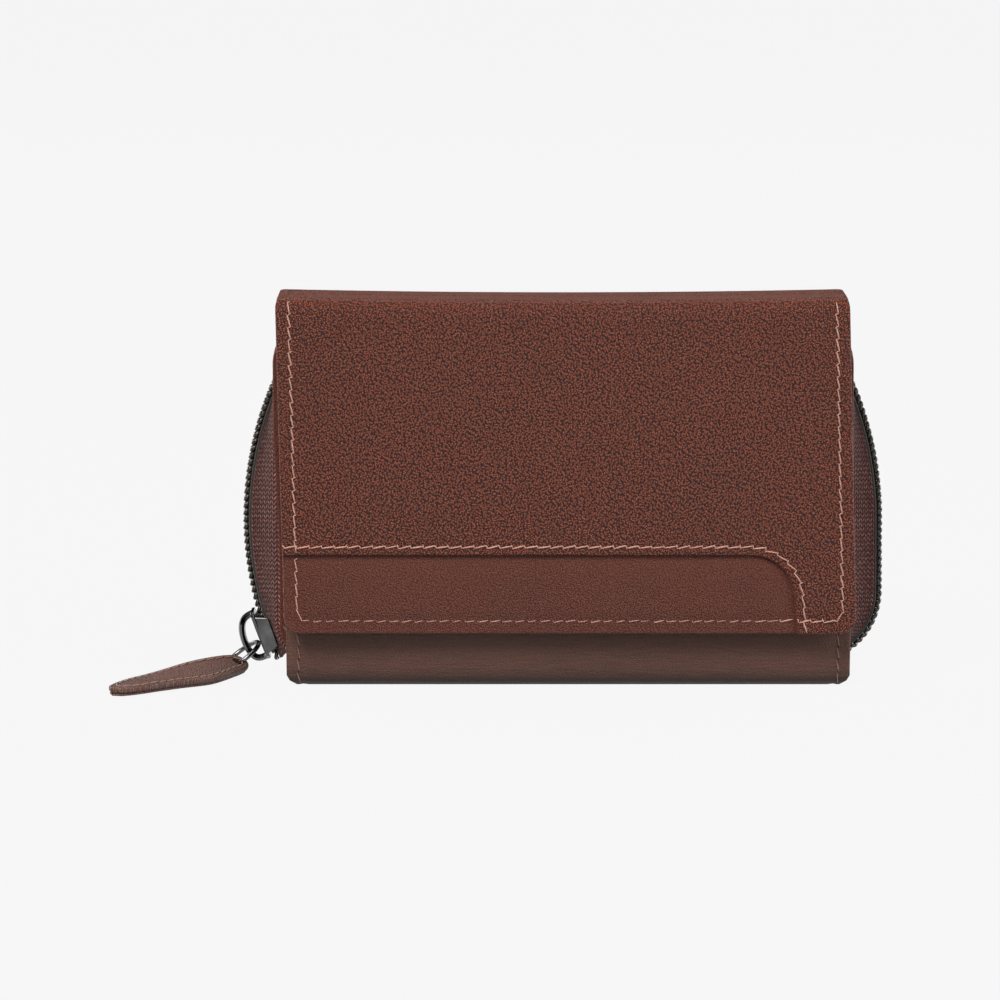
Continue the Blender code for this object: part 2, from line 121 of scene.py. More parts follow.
# The zip's path, as in the frame: two side arcs, two shoulders, and a foot on the right
SIDE_CENTRE = (6.1, 36.0)
SIDE_RADIUS = 79.0
SIDE_TILT_TOP = 22.0
SIDE_TILT_END = 24.3
SHOULDER_RADIUS = 29.0
FOOT_CENTRE = (56.9, 19.0)
FOOT_RADIUS = 16.1
FOOT_END = 72.0
STEP = 0.8
TAPE_START = 0.95
TAPE_WIDTH = 13.5
REAR_START = 17.0
CORNER_LOW = 9.0
CORNER_HIGH = 14.0

# The slider, the ring and the pull
SLIDER_TILT = 19.6
PLATE_OUT = 2.2
BRIDGE_REACH = 4.3
RING_RADIUS = 4.9
RING_WIRE = 0.55
RING_TILT = 36.0
RING_TURN = 11.0
HOLE_HEIGHT = 2.5
TAB_LENGTH = 41.0
TAB_HEADING = 225.0
TAB_THICK = 2.0
TAB_END = 3.1
TAB_HALF = 6.3
TAB_HOLE = 2.3
HOLE_RADIUS = 1.35


# Settings


class PurseLeather(bpy.types.PropertyGroup):
    """Leather, edges and thread."""

    brown: FloatVectorProperty(
        name="Grained leather", description="Colour of the flap", subtype="COLOR", min=0, max=1,
        default=(0.098, 0.0182, 0.0078),
    )
    smooth: FloatVectorProperty(
        name="Smooth leather", description="Colour of the inset panel and linings", subtype="COLOR",
        min=0, max=1, default=(0.094, 0.0200, 0.0085),
    )
    front: FloatVectorProperty(
        name="Front panel", description="Colour of the panel under the flap", subtype="COLOR",
        min=0, max=1, default=(0.074, 0.0275, 0.0165),
    )
    edge: FloatVectorProperty(
        name="Cut edge", description="Colour of the leather's cut edges", subtype="COLOR",
        min=0, max=1, default=(0.24, 0.13, 0.10),
    )
    thread: FloatVectorProperty(
        name="Thread", description="Colour of the sewing thread", subtype="COLOR",
        min=0, max=1, default=(0.56, 0.29, 0.22),
    )
    grain: FloatProperty(
        name="Grain size", description="Width of a pebble in the grain", unit="LENGTH",
        min=0.0002, max=0.002, default=0.00052,
    )
    pitch: FloatProperty(
        name="Stitch length", description="Distance between two needle holes", unit="LENGTH",
        min=0.0015, max=0.006, default=0.00285,
    )


class PurseZip(bpy.types.PropertyGroup):
    """Tape, coil and metal."""

    tape: FloatVectorProperty(
        name="Tape", description="Colour of the woven tape", subtype="COLOR", min=0, max=1,
        default=(0.27, 0.048, 0.036),
    )
    coil: FloatVectorProperty(
        name="Coil", description="Colour of the nylon coil", subtype="COLOR", min=0, max=1,
        default=(0.030, 0.022, 0.016),
    )
    metal: FloatVectorProperty(
        name="Metal", description="Colour of the plated metal", subtype="COLOR", min=0, max=1,
        default=(0.12, 0.12, 0.12),
    )
    lining: FloatVectorProperty(
        name="Lining", description="Colour of the twill lining", subtype="COLOR", min=0, max=1,
        default=(0.055, 0.028, 0.020),
    )
    turn: FloatProperty(
        name="Coil pitch", description="Length of one turn of the coil", unit="LENGTH",
        min=0.001, max=0.003, default=0.00165,
    )


class PurseStage(bpy.types.PropertyGroup):
    """Floor, light and camera."""

    floor: FloatProperty(
        name="Floor brightness", description="How pale the floor is", default=0.922, min=0, max=1
    )
    distance: FloatProperty(
        name="Camera distance", description="From the camera to the flap", unit="LENGTH", default=1.125
    )
    height: FloatProperty(name="Camera height", description="Above the table", unit="LENGTH", default=0.208)
    aside: FloatProperty(
        name="Camera offset", description="How far left the camera stands", unit="LENGTH", default=0.0145
    )
    aim: FloatProperty(
        name="Aim height", description="Height that the camera aims at", unit="LENGTH", default=0.044
    )
    lens: FloatProperty(name="Lens", description="Focal length in millimetres", default=180.9)


# Materials


class Finish:
    """A procedural material under construction."""

    def __init__(self, name, source="Object"):
        self.made = bpy.data.materials.new(name)
        self.made.use_nodes = True
        self.tree = self.made.node_tree
        self.shader = self.tree.nodes["Principled BSDF"]
        self.coords = self.node("ShaderNodeTexCoord").outputs[source]

    def node(self, kind, **settings):
        node = self.tree.nodes.new(kind)
        for key, value in settings.items():
            setattr(node, key, value)
        return node

    def join(self, source, socket):
        if hasattr(source, "links"):
            self.tree.links.new(source, socket)
        else:
            socket.default_value = source

    def stretch(self, scale, source=None, turn=(0, 0, 0)):
        node = self.node("ShaderNodeMapping")
        self.join(source or self.coords, node.inputs["Vector"])
        node.inputs["Scale"].default_value = scale
        node.inputs["Rotation"].default_value = turn
        return node.outputs["Vector"]

    def noise(self, scale, detail=2.0, rough=0.5, source=None, distort=0.0):
        node = self.node("ShaderNodeTexNoise")
        self.join(source or self.coords, node.inputs["Vector"])
        node.inputs["Scale"].default_value = scale
        node.inputs["Detail"].default_value = detail
        node.inputs["Roughness"].default_value = rough
        node.inputs["Distortion"].default_value = distort
        return node.outputs["Fac"]

    def cells(self, scale, source):
        node = self.node("ShaderNodeTexVoronoi", feature="F1", voronoi_dimensions="2D")
        self.join(source, node.inputs["Vector"])
        node.inputs["Scale"].default_value = scale
        return node.outputs["Distance"]

    def remap(self, source, low, high, to_low=0.0, to_high=1.0):
        node = self.node("ShaderNodeMapRange", interpolation_type="SMOOTHSTEP")
        self.join(source, node.inputs["Value"])
        for key, value in (("From Min", low), ("From Max", high), ("To Min", to_low), ("To Max", to_high)):
            node.inputs[key].default_value = value
        return node.outputs["Result"]

    def math(self, operation, first, second):
        node = self.node("ShaderNodeMath", operation=operation)
        self.join(first, node.inputs[0])
        self.join(second, node.inputs[1])
        return node.outputs["Value"]

    def wobble(self, amount, scale):
        """The finish's coordinates pushed about by a little noise."""
        noise = self.node("ShaderNodeTexNoise")
        self.join(self.coords, noise.inputs["Vector"])
        noise.inputs["Scale"].default_value = scale
        mix = self.node("ShaderNodeVectorMath", operation="MULTIPLY_ADD")
        self.join(noise.outputs["Color"], mix.inputs[0])
        mix.inputs[1].default_value = (amount, amount, amount)
        self.join(self.coords, mix.inputs[2])
        return mix.outputs["Vector"]

    def blend(self, factor, first, second, kind="MIX"):
        node = self.node("ShaderNodeMix", data_type="RGBA", blend_type=kind)
        self.join(factor, node.inputs["Factor"])
        for value, key in ((first, "A"), (second, "B")):
            socket = next(s for s in node.inputs if s.name == key and s.type == "RGBA")
            self.join(value if hasattr(value, "links") else (*value, 1.0), socket)
        return next(s for s in node.outputs if s.type == "RGBA")

    def attribute(self, name):
        node = self.node("ShaderNodeAttribute", attribute_name=name)
        return node.outputs["Fac"]

    def across_and_along(self):
        """The coordinates' first two numbers."""
        split = self.node("ShaderNodeSeparateXYZ")
        self.join(self.coords, split.inputs["Vector"])
        return split.outputs["X"], split.outputs["Y"]

    def bands(self, direction, scale, distort=0.0):
        """Straight bands in one direction."""
        wave = self.node("ShaderNodeTexWave", wave_type="BANDS", bands_direction=direction)
        self.join(self.coords, wave.inputs["Vector"])
        wave.inputs["Scale"].default_value = scale
        wave.inputs["Distortion"].default_value = distort
        return wave.outputs["Fac"]

    def sheen(self, weight):
        self.shader.inputs["Sheen Weight"].default_value = weight

    def surface(self, colour, roughness, height, depth, metallic=0.0, specular=0.5):
        self.join(colour if hasattr(colour, "links") else (*colour, 1.0), self.shader.inputs["Base Color"])
        self.join(roughness, self.shader.inputs["Roughness"])
        self.shader.inputs["Metallic"].default_value = metallic
        self.shader.inputs["Specular IOR Level"].default_value = specular
        bump = self.node("ShaderNodeBump")
        bump.inputs["Distance"].default_value = depth
        self.join(height, bump.inputs["Height"])
        self.join(bump.outputs["Normal"], self.shader.inputs["Normal"])
        return self.made


def times(colour, factor):
    return tuple(c * factor for c in colour)


def grained_leather(name, colour, grain, depth, crease_shade_strength, roughness, light):
    """Pebbled leather in slanted rows: cloudy colour, painted highlights on the domes, painted shade in the
    creases, and paler rubbed edges (on the pull partly a painted highlight).

    The pattern lies on the flat pattern's UV map, in metres, so it follows the leather round its folds.
    """
    finish = Finish(name, "UV")
    bent = finish.wobble(grain * 0.55, 0.5 / grain)
    shaped = finish.stretch((1.18, 0.92, 1.0), finish.stretch((1.0, 1.0, 1.0), bent, (0.0, 0.0, 0.6)))
    middle = finish.cells(1 / grain, shaped)
    dome = finish.remap(middle, 0.16, 0.64, 1.0, 0.0)
    fine = finish.noise(2.4 / grain, 3.0, 0.6)
    height = finish.math("ADD", dome, finish.math("MULTIPLY", fine, 0.5))
    clouds = finish.remap(finish.noise(34.0, 3.0, 0.6), 0.3, 0.7)
    red = finish.remap(finish.noise(75.0, 2.0, 0.5), 0.35, 0.7)
    base = finish.blend(clouds, times(colour, 0.88), times(colour, 1.12))
    tint = (colour[0] * 1.14, colour[1] * 0.86, colour[2] * 0.86)
    base = finish.blend(finish.math("MULTIPLY", red, 0.6), base, tint)
    # Painted highlights: pale glints on the domes, where noise patches meet a dome; the light argument sets
    # how pale they are.
    patches = finish.remap(fine, 0.43, 0.58)
    glint_mask = finish.math("MULTIPLY", dome, patches)
    # Painted shade: the creases between the domes are darkened in the colour.
    dark = 1 - crease_shade_strength
    shade = finish.blend(dome, (dark * 1.35, dark * 0.85, dark * 0.75), (1.0, 1.0, 1.0))
    base = finish.blend(1.0, base, shade, "MULTIPLY")
    # The painted highlights' colour: the leather's colour brightened, more in green and blue, so the glints
    # look neutral.
    pale = (colour[0] * light, colour[1] * light * 1.5, colour[2] * light * 1.8)
    base = finish.blend(finish.math("MULTIPLY", glint_mask, 0.85), base, pale)
    # Paler edges: rubbed leather on cut pieces, and on the pull a stripe that is partly a painted highlight.
    worn_and_highlit = finish.blend(finish.math("MULTIPLY", finish.attribute("wear_and_highlight"), 0.8), base, times(colour, 2.3))
    gloss = finish.remap(fine, 0.3, 0.7, roughness - 0.06, roughness + 0.10)
    return finish.surface(worn_and_highlit, gloss, height, depth, specular=0.36)


def streaked_leather(name, colour):
    """Smooth pull-up leather with faint streaks along the panel, and painted shade darkening it at its foot.
    """
    finish = Finish(name, "UV")
    long = finish.stretch((160.0, 1500.0, 1.0))
    streaks = finish.remap(finish.noise(1.0, 4.0, 0.7, long, 0.3), 0.36, 0.66)
    pores = finish.remap(finish.cells(2300.0, finish.wobble(0.0003, 900.0)), 0.1, 0.6, 1.0, 0.0)
    clouds = finish.remap(finish.noise(30.0, 3.0), 0.3, 0.7)
    base = finish.blend(clouds, times(colour, 0.82), times(colour, 1.14))
    base = finish.blend(finish.math("MULTIPLY", streaks, 0.55), base, times(colour, 1.6))
    base = finish.blend(finish.math("MULTIPLY", pores, 0.35), base, times(colour, 1.5))
    base = finish.blend(finish.math("MULTIPLY", finish.attribute("wear_and_highlight"), 0.6), base, times(colour, 2.0))
    # Painted shade: the colour darkens towards the bottom fold, where the panel turns under away from the
    # light.
    _, up = finish.across_and_along()
    foot = finish.remap(up, -0.001, 0.006)
    base = finish.blend(1.0, base, finish.blend(foot, (0.10, 0.14, 0.17), (1.0, 1.0, 1.0)), "MULTIPLY")
    height = finish.math("ADD", finish.math("MULTIPLY", streaks, 0.6), finish.math("MULTIPLY", pores, 0.7))
    return finish.surface(base, 0.5, height, 0.00009, specular=0.4)


def cut_edge(name, colour):
    """A cut and burnished edge: two fibres' colours with short cross marks."""
    finish = Finish(name)
    fibres = finish.noise(2200.0, 3.0, 0.7)
    base = finish.blend(finish.remap(fibres, 0.3, 0.7), times(colour, 0.72), times(colour, 1.2))
    return finish.surface(base, 0.5, fibres, 0.00005)


def thread_look(name, colour):
    """Twisted polyester thread with a soft sheen."""
    finish = Finish(name)
    twist = finish.bands("DIAGONAL", 900.0, 1.5)
    patches = finish.remap(finish.noise(420.0, 2.0), 0.3, 0.7, 0.72, 1.15)
    base = finish.blend(twist, times(colour, 0.78), times(colour, 1.1))
    base = finish.blend(1.0, base, finish.blend(patches, (0.6, 0.6, 0.6), (1, 1, 1)), "MULTIPLY")
    finish.sheen(0.3)
    return finish.surface(base, 0.6, twist, 0.00004)


def needle_hole(name):
    """Painted shade for a needle hole: a dark mark where the hole's inside lies in shade."""
    finish = Finish(name)
    specks = finish.noise(3000.0, 1.0)
    base = finish.blend(specks, (0.006, 0.003, 0.002), (0.022, 0.010, 0.007))
    return finish.surface(base, 0.9, specks, 0.00003)


def twill(name, colour, pitch=0.0007):
    """Diagonal woven cloth."""
    finish = Finish(name)
    ribs = finish.bands("DIAGONAL", 0.32 / pitch, 0.6)
    yarn = finish.bands("Z", 0.55 / pitch)
    height = finish.math("ADD", ribs, finish.math("MULTIPLY", yarn, 0.4))
    clouds = finish.remap(finish.noise(45.0, 3.0), 0.3, 0.7)
    base = finish.blend(ribs, times(colour, 0.7), times(colour, 1.35))
    base = finish.blend(finish.math("MULTIPLY", clouds, 0.3), base, times(colour, 0.6))
    finish.sheen(0.2)
    return finish.surface(base, 0.85, height, 0.00012)


def woven_tape(name, colour):
    """Herringbone tape: the UV map runs along the tape in metres, so the weave follows it."""
    finish = Finish(name)
    uv = finish.node("ShaderNodeTexCoord").outputs["UV"]
    split = finish.node("ShaderNodeSeparateXYZ")
    finish.join(uv, split.inputs["Vector"])
    along, across = split.outputs["X"], split.outputs["Y"]
    rib = finish.math("PINGPONG", finish.math("MULTIPLY", across, 620.0), 0.5)
    zig = finish.math("ADD", finish.math("MULTIPLY", along, 900.0), finish.math("MULTIPLY", rib, 1.7))
    strokes = finish.math("PINGPONG", zig, 0.5)
    columns = finish.math("PINGPONG", finish.math("MULTIPLY", across, 1240.0), 0.5)
    height = finish.math("MULTIPLY", finish.remap(strokes, 0.08, 0.42), finish.remap(columns, 0.02, 0.32))
    glint_specks = finish.remap(finish.noise(2100.0, 2.0, 0.7), 0.46, 0.60)
    patches = finish.remap(finish.noise(160.0, 2.0), 0.3, 0.7, 0.75, 1.15)
    # Painted shade: the weave's hollows are darkened in the colour, following its height.
    base = finish.blend(height, times(colour, 0.10), times(colour, 1.15))
    # Painted highlights: pale glint specks on the raised yarns.
    base = finish.blend(finish.math("MULTIPLY", glint_specks, height), base, (0.50, 0.26, 0.21))
    base = finish.blend(1.0, base, finish.blend(patches, (0.55, 0.5, 0.5), (1, 1, 1)), "MULTIPLY")
    finish.sheen(0.15)
    return finish.surface(base, 0.72, height, 0.00028)


def nylon(name, colour):
    """Moulded nylon monofilament, with a streaky shine."""
    finish = Finish(name)
    streaks = finish.noise(900.0, 2.0, 0.5, finish.stretch((1.0, 3.0, 1.0)))
    base = finish.blend(streaks, times(colour, 0.55), times(colour, 1.5))
    gloss = finish.remap(streaks, 0.2, 0.8, 0.14, 0.30)
    return finish.surface(base, gloss, streaks, 0.00002)


def plated(name, colour):
    """Polished dark plating with fine rub marks and a little tarnish."""
    finish = Finish(name)
    marks = finish.noise(700.0, 4.0, 0.7, finish.stretch((1.0, 1.0, 6.0)))
    tarnish = finish.remap(finish.noise(260.0, 3.0, 0.6), 0.35, 0.7)
    base = finish.blend(tarnish, times(colour, 0.8), times(colour, 1.25))
    gloss = finish.remap(marks, 0.3, 0.75, 0.10, 0.24)
    return finish.surface(base, gloss, marks, 0.000006, metallic=1.0)


def pressed_board(name):
    """Brown pressed fibre board."""
    finish = Finish(name)
    fibres = finish.noise(1500.0, 4.0, 0.75, finish.stretch((1.0, 1.0, 0.4)))
    base = finish.blend(fibres, (0.045, 0.026, 0.017), (0.095, 0.058, 0.038))
    return finish.surface(base, 0.92, fibres, 0.0001)


LOOKS = {}
PULL_COLOUR = (0.128, 0.068, 0.050)


def make_looks(leather, zip_set):
    """All the finishes, by the names that the pieces use."""
    fine = leather.grain * 0.75
    LOOKS["grained"] = grained_leather(
        "grained_leather", leather.brown, leather.grain, 0.00040, 0.82, 0.38, 5.2
    )
    LOOKS["smooth"] = grained_leather("smooth_leather", leather.smooth, fine, 0.00014, 0.55, 0.42, 2.2)
    LOOKS["pull"] = grained_leather("pull_leather", PULL_COLOUR, fine, 0.00016, 0.45, 0.45, 1.6)
    LOOKS["front"] = streaked_leather("streaked_leather", leather.front)
    LOOKS["edge"] = cut_edge("cut_edge", leather.edge)
    LOOKS["thread"] = thread_look("thread", leather.thread)
    LOOKS["front_thread"] = thread_look("front_thread", times(leather.thread, 0.5))
    LOOKS["dark_thread"] = thread_look("dark_thread", times(leather.thread, 0.42))
    LOOKS["hole"] = needle_hole("needle_hole")
    LOOKS["lining"] = twill("twill_lining", zip_set.lining)
    LOOKS["tape"] = woven_tape("woven_tape", zip_set.tape)
    LOOKS["coil"] = nylon("nylon_coil", zip_set.coil)
    LOOKS["cord"] = thread_look("zip_cord", times(zip_set.coil, 0.8))
    LOOKS["metal"] = plated("dark_plating", zip_set.metal)
    LOOKS["board"] = pressed_board("pressed_board")


# Pattern cutting


def arc(centre, radius, start, end, steps):
    """Points on a circle from one angle to another, in degrees."""
    angles = [math.radians(start + (end - start) * i / steps) for i in range(steps + 1)]
    return [(centre[0] + radius * math.cos(a), centre[1] + radius * math.sin(a)) for a in angles]


def rounded(x0, x1, z0, z1, low, high, steps=8):
    """A rectangle with one radius on its bottom corners and one on its top corners; 0 leaves them square."""

    def corner(x, z, radius, start):
        return arc((x, z), radius, start, start + 90, steps) if radius else [(x, z)]

    return (
        corner(x0 + low, z0 + low, low, 180)
        + corner(x1 - low, z0 + low, low, 270)
        + corner(x1 - high, z1 - high, high, 0)
        + corner(x0 + high, z1 - high, high, 90)
    )


def panel_edge(low, high, bottom, top, steps=8, inset=0.0):
    """A panel's outline from its corners and its corner radii, moved inwards by an inset."""
    sides = (low.x + inset, high.x - inset, low.z + inset, high.z - inset)
    return rounded(*sides, bottom - inset, top - inset, steps)


def closed(line):
    return line + line[:1]


def smooth(value):
    """A soft step from 0 to 1."""
    value = max(0.0, min(1.0, value))
    return value * value * (3 - 2 * value)


def edge_distance(points, outline):
    """Distances from points of the pattern to its outline."""
    points = np.asarray(points)
    best = np.full(len(points), 1e9)
    for first, second in zip(outline, outline[1:] + outline[:1]):
        start, step = np.array(first), np.subtract(second, first)
        length = step @ step
        if length > 1e-12:
            t = np.clip((points - start) @ step / length, 0, 1)
            best = np.minimum(best, np.hypot(*(points - start - t[:, None] * step).T))
    return best


def cuts_between(low, high, step=CUT):
    count = max(1, round((high - low) / step))
    return [low + (high - low) * i / count for i in range(1, count)]


def slice_at(work, point, normal):
    """Cuts the edges right across a pattern, so that it can bend there."""
    geometry = work.verts[:] + work.edges[:] + work.faces[:]
    bmesh.ops.bisect_plane(work, geom=geometry, dist=0.01, plane_co=point, plane_no=normal)


def thicken(work, thickness):
    """Gives a thin cloth or leather its thickness."""
    bmesh.ops.recalc_face_normals(work, faces=work.faces[:])
    bmesh.ops.solidify(work, geom=work.faces[:], thickness=thickness)
    bmesh.ops.recalc_face_normals(work, faces=work.faces[:])


def block(size, bevel, segments, waist=1.0):
    """A block with rounded edges, its end at -x shortened along z by the waist."""
    work = bmesh.new()
    bmesh.ops.create_cube(work, size=1.0)
    bmesh.ops.scale(work, vec=size, verts=work.verts)
    bmesh.ops.scale(work, vec=(1, 1, waist), verts=[v for v in work.verts if v.co.x < 0])
    bmesh.ops.bevel(work, geom=work.edges[:], offset=bevel, segments=segments, profile=0.5, affect="EDGES",
                    material=-1)
    return work


def cut_sheet(outline, thickness, rings=(0.1, 0.15, 0.2, 0.3), cuts=CUT, extra=((), ()), round_edge=0.45):
    """A closed sheet of leather or cloth in its flat pattern: x across, z along, y from the face inwards.

    Insets follow the outline, so that its edge can be rounded, and cuts across both ways let it bend.
    """
    work = bmesh.new()
    face = work.faces.new([work.verts.new((x, 0, z)) for x, z in outline])
    work.normal_update()
    if face.normal.y > 0:
        face.normal_flip()
    for step in rings:
        bmesh.ops.inset_region(work, faces=[face], thickness=step, use_even_offset=True, use_boundary=True)
    xs, zs = [p[0] for p in outline], [p[1] for p in outline]
    lines = [((x, 0, 0), (1, 0, 0)) for x in cuts_between(min(xs), max(xs), cuts) + list(extra[0])]
    lines += [((0, 0, z), (0, 0, 1)) for z in cuts_between(min(zs), max(zs), cuts) + list(extra[1])]
    for point, normal in lines:
        slice_at(work, point, normal)
    wear_and_highlight = work.verts.layers.float.new("wear_and_highlight")
    for vert, away in zip(work.verts, edge_distance([(v.co.x, v.co.z) for v in work.verts], outline)):
        vert[wear_and_highlight] = max(0.0, 1 - away / 0.32)
        if away < round_edge:
            vert.co.y = round_edge - math.sqrt(max(0.0, round_edge**2 - (round_edge - away) ** 2))
    result = bmesh.ops.extrude_face_region(work, geom=work.faces[:], use_keep_orig=True)
    moved = {item for item in result["geom"] if isinstance(item, bmesh.types.BMVert)}
    for vert in moved:
        vert.co.y = thickness
    for side in work.faces:
        ends = sum(1 for vert in side.verts if vert in moved)
        side.material_index = 1 if 0 < ends < len(side.verts) else 0
    map_flat(work)
    bmesh.ops.recalc_face_normals(work, faces=work.faces[:])
    return work


def map_flat(work, second="z"):
    """Gives a flat pattern its UV map, in metres, so that grain and weave keep their size."""
    uv = work.loops.layers.uv.verify()
    for face in work.faces:
        for loop in face.loops:
            loop[uv].uv = (loop.vert.co.x * MM, getattr(loop.vert.co, second) * MM)


def lay(work, place):
    """Moves a flat pattern into its place: place takes x, depth and the run along the pattern."""
    for vert in work.verts:
        vert.co = place(vert.co.x, vert.co.y, vert.co.z)
    return work


def finish_piece(name, work, looks, body=None, bend=None, nodes=(), sharp=42.0):
    """Turns a bmesh in millimetres into a piece that rides on a body; a piece given a bend is only left in
    place, on no body.
    """
    bmesh.ops.scale(work, vec=(MM, MM, MM), verts=work.verts)
    data = bpy.data.meshes.new(name)
    work.to_mesh(data)
    work.free()
    for look in looks:
        data.materials.append(LOOKS[look])
    data.shade_smooth()
    data.set_sharp_from_angle(angle=math.radians(sharp))
    piece = bpy.data.objects.new(name, data)
    bpy.context.scene.collection.objects.link(piece)
    if bend:
        first, second, start, end = bend
        tuple(v * MM for v in start)
        tuple(v * MM for v in end)
        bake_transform(piece)
    else:
        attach(piece, body)
    if nodes:
        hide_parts(*nodes)


def over_top(front_y, top, radius, settle):
    """Lays a pattern up the front, round the fold and back over the top."""
    start = top - radius
    quarter = radius * math.pi / 2

    def place(x, depth, run):
        if run <= start:
            y, z = front_y + depth, run
        elif run < start + quarter:
            angle = (run - start) / radius
            y = front_y + radius - (radius - depth) * math.cos(angle)
            z = start + (radius - depth) * math.sin(angle)
        else:
            y, z = front_y + radius + run - start - quarter, top - depth
        return settle(Vector((x, y, z)))

    return place


def run_at(front_y, top, radius, y):
    """The length along such a pattern at which it has come back to a given depth on the top."""
    return top - radius + radius * math.pi / 2 + (y - front_y - radius)


def settled(point):
    """The set that the flap has taken: a small lean to the right, a narrower top, and a slack top edge."""
    x, y, z = point
    down = (TOP - z) / (TOP - FLAP_LOW.z)
    lean = -0.45 + 1.95 * min(1.0, down)
    narrow = 1 - 0.004 * (1 - down)
    slack = 0.75 * max(0.0, 1 - (x / HALF) ** 2) * smooth((z - 62) / 26)
    pinch = 0.4 * smooth((z - TOP + 2.4) / 2.4) * smooth((abs(x) - HALF + 3) / 3)
    return Vector((x * narrow - math.copysign(pinch, x) + lean, y, z - slack))


def upright(face_y):
    """Lays a pattern as a standing panel with its face at a given depth."""
    return lambda x, depth, run: Vector((x, face_y + depth, run))


def facing_back(face_y):
    """Lays a pattern as a standing panel whose face looks to the back."""
    return lambda x, depth, run: Vector((x, face_y - depth, run))


# Sewing


def spaced(points, pitch):
    """Points along a line at even spaces close to the pitch."""
    lengths = [math.dist(a, b) for a, b in zip(points, points[1:])]
    total = sum(lengths)
    count = max(1, round(total / pitch))
    result, walked, index = [], 0.0, 0
    for i in range(count + 1):
        goal = total * i / count
        while index < len(lengths) - 1 and walked + lengths[index] < goal:
            walked += lengths[index]
            index += 1
        t = (goal - walked) / lengths[index]
        a, b = points[index], points[index + 1]
        result.append((a[0] + (b[0] - a[0]) * t, a[1] + (b[1] - a[1]) * t))
    return result


def axes(first, second, third, centre):
    """The matrix that turns x, y and z to the given directions and moves the origin to a centre."""
    return Matrix([(a, b, c, d) for a, b, c, d in zip(first, second, third, centre)] + [(0, 0, 0, 1)])


def bead(work, centre, along, across, up):
    """A small rounded body with the given half axes."""
    matrix = axes(along, across, up, centre) @ Matrix.Rotation(math.pi / 2, 4, "Y")
    bmesh.ops.create_uvsphere(work, u_segments=6, v_segments=6, radius=1.0, matrix=matrix)


def gather(whole, part):
    """Adds one bmesh to another and frees it; small parts keep bmesh quick."""
    data = bpy.data.meshes.new("part")
    part.to_mesh(data)
    part.free()
    whole.from_mesh(data)
    bpy.data.meshes.remove(data)


def sew(
    name, runs, place, seed, body=None, bend=None, look="thread", pitch=None, thick=0.18, knots=False
):
    """Slanted lockstitches along lines of the pattern, and dark marks of painted shade for the needle holes
    between them.
    """
    pitch = pitch or bpy.context.scene.purse_leather.pitch / MM
    rng = random.Random(seed)
    thread, holes = bmesh.new(), bmesh.new()
    for points in runs:
        marks = spaced(points, pitch)
        some_thread, some_holes = bmesh.new(), bmesh.new()
        for i, ((x0, z0), (x1, z1)) in enumerate(zip(marks, marks[1:])):
            middle = ((x0 + x1) / 2, (z0 + z1) / 2)
            base = place(middle[0], 0.0, middle[1])
            up = (place(middle[0], -1.0, middle[1]) - base).normalized()
            start, end = place(x0, 0.0, z0), place(x1, 0.0, z1)
            run = end - start
            side = up.cross(run).normalized()
            slant = run.length * rng.uniform(0.06, 0.14)
            along = (run * 0.5 * rng.uniform(1.0, 1.08)) + side * slant
            rise = rng.uniform(0.04, 0.11)
            across = up.cross(along).normalized() * thick * rng.uniform(0.85, 1.1)
            bead(some_thread, base + up * rise + side * rng.uniform(-0.07, 0.07), along, across, up * thick)
            hole = start + side * slant * 0.4
            if knots:
                hook = run.normalized() * rng.uniform(0.10, 0.34) - side * rng.uniform(0.32, 0.52)
                width = up.cross(hook).normalized() * thick * 0.8
                bead(some_thread, hole + up * 0.05, hook, width, up * thick)
            # Painted shade: a flat dark bead at each needle hole.
            bead(some_holes, hole + up * 0.015, run.normalized() * 0.27, side * 0.21, up * 0.05)
            if i % GROUP == GROUP - 1:
                gather(thread, some_thread)
                gather(holes, some_holes)
                some_thread, some_holes = bmesh.new(), bmesh.new()
        gather(thread, some_thread)
        gather(holes, some_holes)
    finish_piece(name, thread, [look], body, bend, sharp=180)
    finish_piece(name + "_holes", holes, ["hole"], body, bend, sharp=180)


# Flap


def overlay_outline(end_run):
    """The upper leather: straight lower edge, round J, then down to the flap's bottom."""
    corner = (OVERLAY_SIDE - OVERLAY_RADIUS, OVERLAY_EDGE - OVERLAY_RADIUS)
    return (
        [(-HALF, end_run), (-HALF, OVERLAY_EDGE)]
        + arc(corner, OVERLAY_RADIUS, 90, 0, 12)
        + [(OVERLAY_SIDE + 0.8, FLAP_LOW.z)]
        + arc((HALF - 4, FLAP_LOW.z + 4), 4, 270, 360, 8)
        + [(HALF, end_run)]
    )


def overlay_gap(x, z):
    """How far below the upper leather's J edge a point of the inset panel lies."""
    corner = (OVERLAY_SIDE - OVERLAY_RADIUS, OVERLAY_EDGE - OVERLAY_RADIUS)
    if x > corner[0] and z > corner[1]:
        return OVERLAY_RADIUS - math.dist((x, z), corner)
    return min(OVERLAY_EDGE - z, OVERLAY_SIDE - x)


def groove(value, at, width=0.9):
    """A soft groove across a line."""
    return math.exp(-(((value - at) / width) ** 2))


